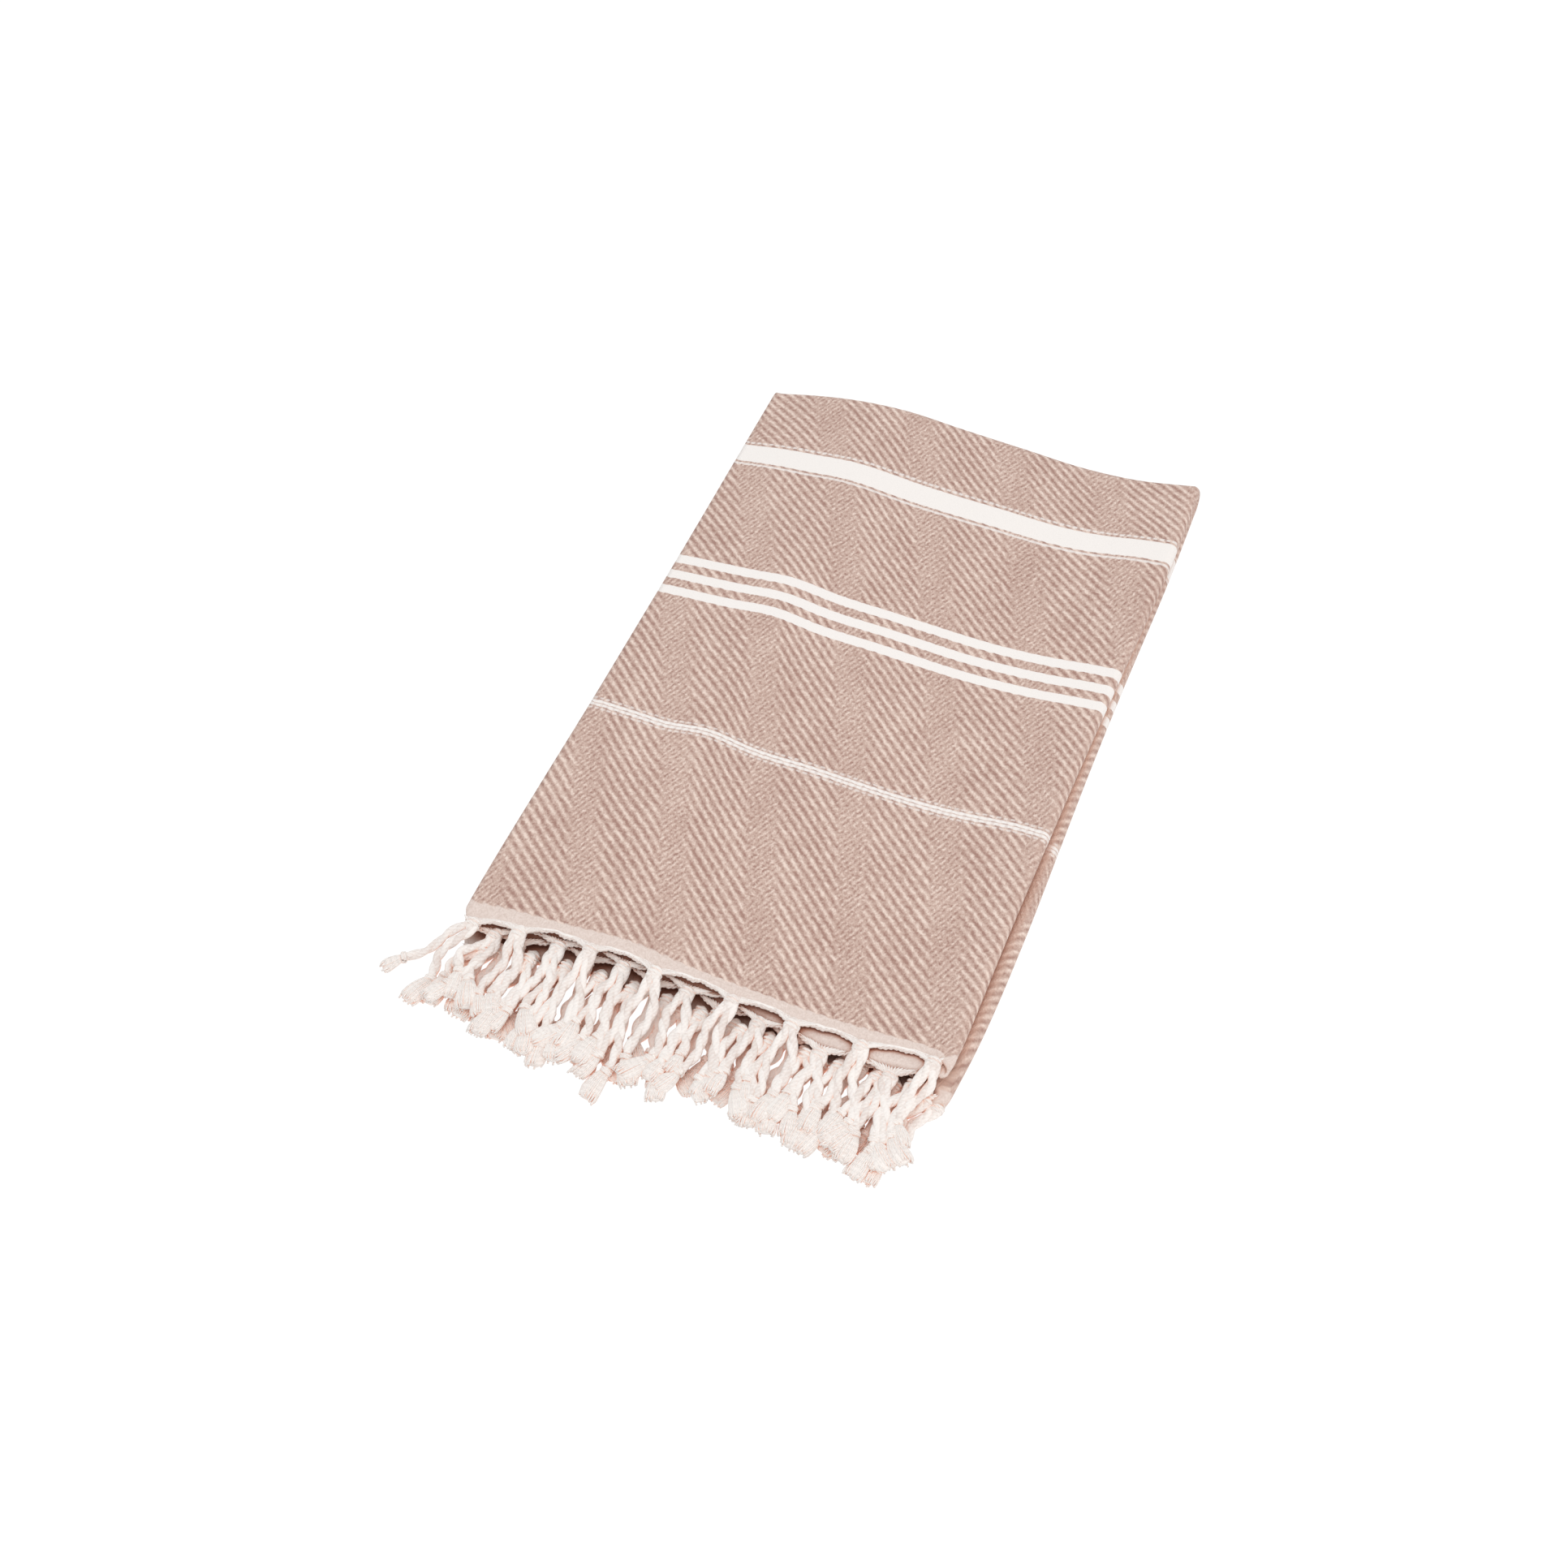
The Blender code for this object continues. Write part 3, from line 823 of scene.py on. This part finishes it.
class Yarns:
    """Tubes gathered into one mesh, with the turns round, length along and shade of each."""

    def __init__(self):
        self.points, self.faces, self.marks = [], [], []
        self.count = 0

    def add(self, path, radius, shade, sides=YARN_SIDES, flat=1.0):
        """Tube along a path; flat is its height over its width."""
        turns = np.arange(sides + 1) / sides
        angle = 2 * math.pi * turns[:-1, None] + np.zeros(len(path))
        points = beside(path, radius, angle, flat).swapaxes(0, 1)
        index = self.count + np.arange(len(path) * sides).reshape(len(path), sides)
        marks = np.empty((len(path), sides + 1, 3))
        marks[..., 0] = turns
        marks[..., 1] = lengths(path)[:, None]
        marks[..., 2] = shade
        self.add_faces(np.column_stack([index, index[:, 0]]), marks)
        self.points.append(points.reshape(-1, 3))
        self.count += len(path) * sides

    def add_faces(self, index, marks):
        """Sides and ends of a tube, whose first column comes again as its last."""
        for grid, store in ((index, self.faces), (marks, self.marks)):
            quads = np.stack([grid[:-1, :-1], grid[1:, :-1], grid[1:, 1:], grid[:-1, 1:]], 2)
            store.extend(quads.reshape(-1, *quads.shape[2:]))
            store.extend([grid[0, :-1], grid[-1, -2::-1]])

    def build(self, name, material):
        return make_piece(name, np.vstack(self.points), self.faces, np.vstack(self.marks),
                          "CORNER", material)


def unit(vectors):
    """Vectors in the same directions, of length 1."""
    return vectors / np.linalg.norm(vectors, axis=-1, keepdims=True)


def beside(path, radius, angle, flat=1.0):
    """Points at angles round a path, out by a radius; flat is their height over their width."""
    tangent = unit(np.gradient(path, axis=0))
    upright = np.abs(tangent[:, 2:]) > STEEP
    side = unit(np.cross(tangent, np.where(upright, (0.0, 1.0, 0.0), (0.0, 0.0, 1.0))))
    lift = np.cross(side, tangent)
    radius = np.broadcast_to(radius, len(path))[:, None]
    angle = angle[..., None]
    return path + radius * (np.cos(angle) * side + flat * np.sin(angle) * lift)


def lengths(path):
    """How far along a path each of its points is."""
    return np.concatenate([[0.0], np.cumsum(np.linalg.norm(np.diff(path, axis=0), axis=1))])


def wound(path, spread, pitch, count, phase, flat=1.0):
    """Paths of yarns twisted round a path; flat is their height over width."""
    turns = lengths(path) / pitch + np.arange(count)[:, None] / count
    return beside(path, spread, 2 * math.pi * turns + phase, flat)


def taper(count, start, end):
    """Radius share along a tube that thins over its first and last steps."""
    share = np.ones(count)
    share[:TAPER_STEPS] = np.linspace(start, 1.0, TAPER_STEPS)
    share[-TAPER_STEPS:] = np.linspace(1.0, end, TAPER_STEPS)
    return share


def add_knot(yarns, centre, direction, size, rng):
    """Knot round a strand: a full body with wraps of yarn over it."""
    half_length, half_width, flat = size
    direction = unit(np.asarray(direction, float))
    rest = KNOT_REST * half_width * flat + WRAP_RADIUS
    centre = np.maximum(centre, (-math.inf, -math.inf, rest))
    share = np.linspace(-1.0, 1.0, KNOT_STEPS)
    body = centre + share[:, None] * half_length * direction
    radius = KNOT_BODY * half_width * np.sqrt(np.maximum(1.0 - share ** 2, KNOT_END))
    yarns.add(body, radius, rng.uniform(*KNOT_SHADES), BODY_SIDES, flat)
    place = np.linspace(-0.5, 0.5, WRAP_STEPS)
    middle = centre + place[:, None] * WRAP_RUN * half_length * direction
    angle = 2 * math.pi * WRAP_TURNS * (place + 0.5) + rng.uniform(0.0, 2 * math.pi)
    radius = WRAPS_AT * half_width * np.sqrt(1.0 - (WRAP_CURVE * place) ** 2)
    thickness = WRAP_RADIUS * taper(WRAP_STEPS, WRAP_POINT, WRAP_POINT)
    yarns.add(beside(middle, radius, angle, flat), thickness, rng.uniform(*WRAP_SHADES))


def strand_path(name, root, tip, rng):
    """Middle line of one strand from its knot to its tip, with a slight bend of its own."""
    share = np.linspace(0.0, 1.0, STEPS_PER_STRAND)
    bow, phase = rng.uniform(*BOW), rng.uniform(0.0, 2 * math.pi)
    turns = rng.uniform(*BOW_TURNS)
    bend_x = bow * np.sin(2 * math.pi * share * turns + phase) * smooth(share / BOW_START)
    y = root[1] + (tip[1] - root[1]) * share
    lone = tip[0] < LONE_TIP_X
    sideways = share if tip[0] < STRAIGHT_TIP_X else smooth(share / ASIDE_SHARE)
    x = root[0] + (tip[0] - root[0]) * sideways + bend_x
    if name in FLOOR_ROWS:
        rest = np.full_like(share, (PLY_SPREAD + PLY_RADIUS * (1.0 + PLY_VARIES)) * STRAND_FLAT)
    elif lone:
        rest = np.full_like(share, LONE_TIP_Z)
    else:
        rest = curve(UPPER_REST, 1)(y)
    drop = smooth(share / (LONE_DROP_SHARE if lone else DROP_SHARE))
    return np.column_stack([x, y, root[2] + (rest - root[2]) * drop])


def add_brush(yarns, centre, direction, size, rng):
    """Loose cut ends past the last knot of a strand, spread flat and turned a little."""
    turn = Matrix.Rotation(rng.normal(0.0, BRUSH_TURN), 3, "Z")
    direction = np.array(turn @ Vector(direction))
    side = unit(np.cross(direction, (0.0, 0.0, 1.0)))
    lift = np.cross(side, direction)
    share, width, core_width = np.array(BRUSH_PROFILE).T
    run = share[:, None] * BRUSH_LENGTH * size * direction
    bow = share[:, None] ** 2 * (side * rng.normal(0.0, BRUSH_BOW) - (0.0, 0.0, BRUSH_SAG))
    core = centre + run + bow
    core[:, 2] = np.maximum(core[:, 2], width * size * BRUSH_FLAT)
    yarns.add(core, core_width * size, rng.uniform(*CORE_SHADES), BODY_SIDES, BRUSH_FLAT)
    radius = BRUSH_RADIUS * np.linspace(1.0, END_POINT, len(share))
    for number in range(BRUSH_YARNS):
        angle = 2 * math.pi * (number + rng.uniform(-END_ORDER, END_ORDER)) / BRUSH_YARNS
        outward = math.cos(angle) * side + BRUSH_FLAT * math.sin(angle) * lift
        path = core + rng.uniform(*END_DEPTH) * size * width[:, None] * outward
        longer = direction * rng.uniform(*END_LENGTH)
        path += share[:, None] ** 3 * (longer + rng.normal(0.0, END_STRAY, 3))
        path[:, 2] = np.maximum(path[:, 2], BRUSH_RADIUS)
        yarns.add(path, radius, rng.uniform(*END_SHADES), BRUSH_SIDES)


def add_strand(yarns, name, root, tip, rng):
    """Plies twisted together, a knot near the end and a brush of loose cut ends."""
    path = strand_path(name, root, tip, rng)
    last = int(TWIST_END * len(path))
    pitch = PLY_PITCH * rng.uniform(*PITCH_VARIES)
    plies = wound(path[:last], PLY_SPREAD, pitch, PLIES, rng.uniform(0.0, 2 * math.pi),
                  STRAND_FLAT)
    for ply in plies:
        radius = PLY_RADIUS * (1.0 + rng.uniform(-PLY_VARIES, PLY_VARIES))
        yarns.add(ply, radius, rng.uniform(*PLY_SHADES), PLY_SIDES, STRAND_FLAT)
    direction = unit(path[last + 1] - path[last - 2])
    add_knot(yarns, path[last], direction, END_KNOT, rng)
    add_brush(yarns, path[last] + direction, direction, rng.uniform(*BRUSH_SIZES), rng)


def add_fan(yarns, centre, knot_x, row, rng):
    """Warp yarns that gather from the hem into one knot."""
    share = np.linspace(0.0, 1.0, FAN_STEPS)[:, None]
    for number in range(FAN_YARNS):
        offset = (number - (FAN_YARNS - 1) / 2) * FAN_SPACING
        x = np.clip(np.array([knot_x + offset]), *RIM_ENDS)
        y = row.hem + setback_of(x, row) + bare_from(x, row) - flare(x, row.upper)
        z = layer_z(row) + rise_of(x, row) + FAN_LIFT
        start = settle(np.column_stack([x, y, z]))[0]
        end = centre + (FAN_CLOSED * (start[0] - centre[0]), 0.0, FAN_END_LIFT)
        radius = FAN_RADIUS * rng.uniform(*FAN_VARIES) * taper(len(share), FAN_POINT, 1.0)
        yarns.add(start + (end - start) * share, radius, rng.uniform(*FAN_SHADES))


def add_rim(yarns, row, rng):
    """Twisted cord along the scalloped hem."""
    x = np.linspace(*RIM_ENDS, RIM_STEPS)
    rim_y, lift, gather = rim(x, row)
    path = settle(np.column_stack([x + gather, rim_y - flare(x, row.upper), layer_z(row) + lift]))
    for thread in wound(path, RIM_SPREAD, RIM_PITCH, RIM_THREADS, 0.0):
        yarns.add(thread, RIM_RADIUS, rng.uniform(*RIM_SHADES))


def add_row(yarns, fringe, rng):
    """One fringe row: rim, gathered warp yarns, knots and twisted strands."""
    row = FRINGES[fringe]
    shows = fringe not in INNER_ROWS
    if shows:
        add_rim(yarns, row, rng)
    for knot_x, *tips in row.knots:
        x = np.array([knot_x])
        y = row.knot_y + setback_of(x, row) - flare(x, row.upper)
        centre = settle(np.column_stack([x, y, [row.knot_z]]))[0]
        if shows:
            add_fan(yarns, centre, knot_x, row, rng)
        add_knot(yarns, centre, (0.0, -1.0, 0.0), HEM_KNOT, rng)
        for side, tip in ((-1, tips[:2]), (1, tips[2:])):
            root = centre + (side * ROOT_SPREAD, 0.0, 0.0)
            add_strand(yarns, fringe, root, tip, rng)


def build_fringe(name, material):
    """The rows of one piece of fringe."""
    yarns = Yarns()
    for fringe in PIECES[name]:
        add_row(yarns, fringe, np.random.default_rng(SEED + list(FRINGES).index(fringe)))
    return yarns.build(name, material)


# ---- Materials ----

class Field:
    """A number that varies over a surface: a node's socket, with arithmetic."""

    def __init__(self, socket):
        self.socket = socket

    def math(self, operation, *others):
        tree = self.socket.id_data
        node = tree.nodes.new("ShaderNodeMath")
        node.operation = operation
        for entry, value in zip(node.inputs, (self, *others)):
            if isinstance(value, Field):
                tree.links.new(value.socket, entry)
            else:
                entry.default_value = value
        return Field(node.outputs[0])

    def __add__(self, other):
        return self.math("ADD", other)

    def __sub__(self, other):
        return self.math("SUBTRACT", other)

    def __rsub__(self, other):
        return self * -1.0 + other

    def __mul__(self, other):
        return self.math("MULTIPLY", other)

    def larger(self, other):
        return self.math("MAXIMUM", other)

    def ramp(self, start, full):
        """0 at start, 1 at full, which may be the lower one, and smooth between."""
        tree = self.socket.id_data
        node = tree.nodes.new("ShaderNodeMapRange")
        node.interpolation_type = "SMOOTHSTEP"
        tree.links.new(self.socket, node.inputs["Value"])
        node.inputs["From Min"].default_value = start
        node.inputs["From Max"].default_value = full
        return Field(node.outputs["Result"])

    def wave(self):
        """Sine of a number of turns."""
        return (self * (2 * math.pi)).math("SINE")

    def between(self, middle, half, soft):
        """1 within half of the middle, 0 outside, with soft edges."""
        return (self - middle).math("ABSOLUTE").ramp(half + soft, half - soft)


def colour_socket(sockets, name):
    """The one of a node's sockets that carries a colour under this name."""
    return next(socket for socket in sockets if socket.name == name and socket.type == "RGBA")


class Surface:
    """A material under construction, with the marks of its mesh as fields."""

    def __init__(self, name):
        self.material = bpy.data.materials.new(name)
        self.material.use_nodes = True
        self.tree = self.material.node_tree
        self.shader = self.tree.nodes["Principled BSDF"]
        source = self.tree.nodes.new("ShaderNodeAttribute")
        source.attribute_name = "marks"
        split = self.tree.nodes.new("ShaderNodeSeparateXYZ")
        self.tree.links.new(source.outputs["Vector"], split.inputs[0])
        self.fields = [Field(output) for output in split.outputs]

    def noise(self, *places, detail=COARSE_DETAIL):
        """Noise over two or three fields, mostly between -1 and 1."""
        join = self.tree.nodes.new("ShaderNodeCombineXYZ")
        for place, entry in zip(places, join.inputs):
            self.tree.links.new(place.socket, entry)
        node = self.tree.nodes.new("ShaderNodeTexNoise")
        node.inputs["Scale"].default_value = 1.0
        node.inputs["Detail"].default_value = detail
        self.tree.links.new(join.outputs[0], node.inputs["Vector"])
        return (Field(node.outputs["Fac"]) - 0.5) * NOISE_GAIN

    def openness(self, reach):
        """Share of the directions in which nothing is within reach, in mm."""
        node = self.tree.nodes.new("ShaderNodeAmbientOcclusion")
        node.samples = OPENNESS_SAMPLES
        node.inputs["Distance"].default_value = reach * MM
        return Field(node.outputs["AO"])

    def mix(self, share, first, second):
        """Colour between two colours, each given or a socket."""
        node = self.tree.nodes.new("ShaderNodeMix")
        node.data_type = "RGBA"
        self.tree.links.new(share.socket, node.inputs["Factor"])
        for name, colour in (("A", first), ("B", second)):
            entry = colour_socket(node.inputs, name)
            if isinstance(colour, tuple):
                entry.default_value = colour
            else:
                self.tree.links.new(colour, entry)
        return colour_socket(node.outputs, "Result")

    def bump(self, height, distance, strength):
        node = self.tree.nodes.new("ShaderNodeBump")
        node.inputs["Distance"].default_value = distance * MM
        node.inputs["Strength"].default_value = strength
        self.tree.links.new(height.socket, node.inputs["Height"])
        self.tree.links.new(node.outputs["Normal"], self.shader.inputs["Normal"])

    def finish(self, colour, roughness):
        self.tree.links.new(colour, self.shader.inputs["Base Color"])
        self.shader.inputs["Roughness"].default_value = roughness
        self.shader.inputs["Specular IOR Level"].default_value = SPECULAR
        self.shader.inputs["Sheen Weight"].default_value = SHEEN
        self.shader.inputs["Sheen Roughness"].default_value = SHEEN_ROUGHNESS
        return self.material


class Weave(Surface):
    """The woven cotton: twill, and the unevenness that all its parts share."""

    def __init__(self):
        super().__init__("woven_cotton")
        self.across, self.along, self.heading = self.fields
        self.jitter = self.grains(JITTER, COARSE_DETAIL)
        self.beads = self.grains(BEADS, FINE_DETAIL)
        self.grain = self.grains(GRAIN, FINE_DETAIL)
        self.twill_turns = self.turns(TWILL)
        self.twill = self.twill_turns.wave()
        self.folded = self.across.between(*RIGHT_ROLL)

    def grains(self, pace, detail):
        """Noise with so many grains to a mm across and along the cloth."""
        return self.noise(self.across * pace[0], self.along * pace[1], detail=detail)

    def turns(self, pace):
        """Turns of a wave over the cloth, by the way across and along it and by the jitter."""
        return self.across * pace[0] + self.along * pace[1] + self.jitter * pace[2]

    def shifted(self, place, shift):
        """A field whose edges the twill and the beads make uneven."""
        return place + self.beads * shift[1] + self.twill * shift[0]

    def strong_zones(self):
        """1 in the zones of strong diagonals and 0 between them."""
        slant = self.across * (self.along * ZONE_FAN + 1.0) + self.along * ZONE_SLANT
        shifted = slant + self.jitter * ZONE_JITTER + ZONE_SHIFT
        turn = (shifted * (1 / ZONE_WIDTH)).math("FRACT")
        return turn.ramp(*ZONE_IN) * (1.0 - turn.ramp(*ZONE_OUT))

    def diagonals(self, wave, dashes, zone):
        """Diagonals broken into dashes, over the beads and the grain."""
        dashed = wave * (dashes * zone.dashed + zone.steady)
        return dashed + self.beads * zone.beads + self.grain * zone.grain

    def tone(self):
        """Dark and light of the weft, below and above 0."""
        dashes = self.noise(self.twill_turns * DASHES[0], self.turns(DOWN_TWILL) * DASHES[1],
                            detail=FINE_DETAIL)
        counter = self.turns(COUNTER_TWILL).wave()
        strong = self.diagonals(self.twill, dashes, STRONG_ZONE)
        faint = self.diagonals(counter, dashes, FAINT_ZONE) + self.twill * TWILL_IN_FAINT
        twill = faint + (strong - faint) * self.strong_zones()
        patches = self.grains(PATCHES, COARSE_DETAIL) * PATCH_TONE
        return twill * (1.0 - self.folded * ROLL_FADES) + patches

    def stripes(self):
        """1 where the cloth is white: in the bands and the dotted hairlines."""
        edge = self.shifted(self.along, STRIPE_SHIFT)
        gaps = self.turns(DOTS).wave().ramp(*DOT_GAPS)
        white = edge.between(*BANDS[0], BAND_SOFT)
        for middle, half in BANDS[1:]:
            white = white.larger(edge.between(middle, half, BAND_SOFT))
        for middle, half, strength, dotted in HAIRLINES:
            line = edge.between(middle, half, HAIRLINE_SOFT)
            white = white.larger(line * (1.0 - gaps * dotted) * strength)
        return white

    def with_painted_shade(self, colour):
        """A colour with painted shade: tints in the gaps between layers, and one in the right
        fold's groove.
        """
        openness, flat = self.openness(CLOTH_REACH), 1.0 - self.folded
        # Painted shade: darker and redder where the cloth is enclosed between layers.
        colour = self.mix(openness.ramp(*CLOTH_PAINTED_SHADE) * flat, colour, WEFT_PAINTED_SHADE)
        colour = self.mix(openness.ramp(*CLOTH_PAINTED_DEEP_SHADE) * flat, colour, WEFT_PAINTED_DEEP_SHADE)
        # Painted shade and warm bounce light: a redder tone where the right fold's groove is
        # enclosed.
        return self.mix(openness.ramp(*CLOTH_PAINTED_FOLD_SHADE) * self.folded, colour, WEFT_PAINTED_FOLD_SHADE)


def weave_material():
    """Twill with white bands and hairlines, a plain heading, bare yarns past the hem, and painted
    shade.
    """
    cloth = Weave()
    tone, white = cloth.tone(), cloth.stripes()
    cream = cloth.shifted(cloth.heading, HEADING_SHIFT).ramp(*HEADING_FADE)
    bare = cloth.shifted(cloth.heading, BARE_SHIFT).ramp(*BARE_FADE)
    plain = (cloth.beads * PLAIN_BEADS + cloth.grain * PLAIN_GRAIN).ramp(*PLAIN_TONES)
    colour = cloth.mix(tone.ramp(*DARK_TO_MEAN), WEFT_DARK, WEFT_MEAN)
    colour = cloth.mix(tone.ramp(*MEAN_TO_LIGHT), colour, WEFT_LIGHT)
    colour = cloth.mix(white, colour, BAND_WHITE)
    colour = cloth.mix(cream, colour, cloth.mix(plain, HEADING_DARK, HEADING_LIGHT))
    colour = cloth.mix(bare, colour, YARN_LIGHT)
    raised = tone * (1.0 - white.larger(cream) * PLAIN_FADES) + cloth.grain * GRAIN_BUMP
    cloth.bump(raised, *CLOTH_BUMP)
    # The colour gets its painted shade here.
    return cloth.finish(cloth.with_painted_shade(colour), CLOTH_ROUGHNESS)


def yarn_material():
    """Off-white cotton yarn, each yarn a little lighter or darker, with painted shade where yarns
    are enclosed.
    """
    yarn = Surface("fringe_cotton")
    around, along, shade = yarn.fields
    thread = (around * PLY_YARNS + along * (PLY_YARNS / PLY_TWIST)).wave()
    speck = yarn.noise(around * SPECKS[0], along * SPECKS[1], shade * SPECKS[2])
    light = shade + speck * SPECK_TONE + thread * THREAD_TONE
    colour = yarn.mix(light.ramp(*SHADE_TO_LIGHT), YARN_SHADE, YARN_LIGHT)
    openness = yarn.openness(YARN_REACH)
    # Painted bounce light and shade between strands, by how enclosed a place is.
    colour = yarn.mix(openness.ramp(*STRAND_PAINTED_SHADE), colour, YARN_PAINTED_SHADE)
    colour = yarn.mix(openness.ramp(*STRAND_PAINTED_DEEP_SHADE), colour, YARN_PAINTED_DEEP_SHADE)
    yarn.bump(thread + speck * SPECK_BUMP, *YARN_BUMP)
    return yarn.finish(colour, YARN_ROUGHNESS)


# ---- Stage ----

def placed(x, y, z):
    """Point of the tables in the frame, in metres."""
    return Vector(((x - MIDDLE[0]) * MM, (y - MIDDLE[1]) * MM, z * MM))


def aim_at(item, target):
    """Turn a camera or a light towards a point."""
    item.rotation_euler = (target - item.location).to_track_quat("-Z", "Y").to_euler()


def add_camera():
    data = bpy.data.cameras.new("camera")
    data.lens = LENS
    data.sensor_width = SENSOR
    data.clip_start = NEAR_CLIP
    data.clip_end = FAR_CLIP
    camera = add_object("camera", data)
    target = placed(*AIM)
    back = Vector((math.sin(AZIMUTH) * math.cos(ELEVATION),
                   -math.cos(AZIMUTH) * math.cos(ELEVATION), math.sin(ELEVATION)))
    camera.location = target + back * (DISTANCE * MM)
    aim_at(camera, target)
    bpy.context.scene.camera = camera


def add_floor():
    """Plain white floor."""
    mesh = bpy.data.meshes.new("floor")
    corners = [(x * FLOOR_HALF, y * FLOOR_HALF, FLOOR_Z)
               for x, y in ((-1, -1), (1, -1), (1, 1), (-1, 1))]
    mesh.from_pydata(corners, [], [(0, 1, 2, 3)])
    material = bpy.data.materials.new("floor")
    material.use_nodes = True
    shader = material.node_tree.nodes["Principled BSDF"]
    shader.inputs["Base Color"].default_value = FLOOR_COLOUR
    shader.inputs["Roughness"].default_value = 1.0
    shader.inputs["Specular IOR Level"].default_value = 0.0
    shader.inputs["Emission Color"].default_value = WHITE
    shader.inputs["Emission Strength"].default_value = 1.0
    mesh.materials.append(material)
    floor = add_object("floor", mesh)


def add_light(name, place, size, power, colour):
    data = bpy.data.lights.new(name, "AREA")
    data.shape = "DISK"
    data.size = size
    data.energy = power
    data.color = colour
    light = add_object(name, data)
    light.location = place
    aim_at(light, Vector((0.0, 0.0, 0.0)))


def add_studio():
    """Even white surroundings, a large soft light from the front and a warm fill."""
    world = bpy.data.worlds.new("studio")
    world.use_nodes = True
    background = world.node_tree.nodes["Background"]
    background.inputs["Color"].default_value = WHITE
    background.inputs["Strength"].default_value = 1.0
    bpy.context.scene.world = world
    for light in LIGHTS:
        add_light(*light)
    bpy.context.scene.view_settings.view_transform = "Standard"


def main():
    add_camera()
    add_floor()
    add_studio()
    yarn = yarn_material()
    for name, rows in PIECES.items():
        piece = build_fringe(name, yarn)
        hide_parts(rows[0])
        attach(piece, "root")
    towel = build_towel()
    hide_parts("towel_cloth")
    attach(towel, "root")


main()
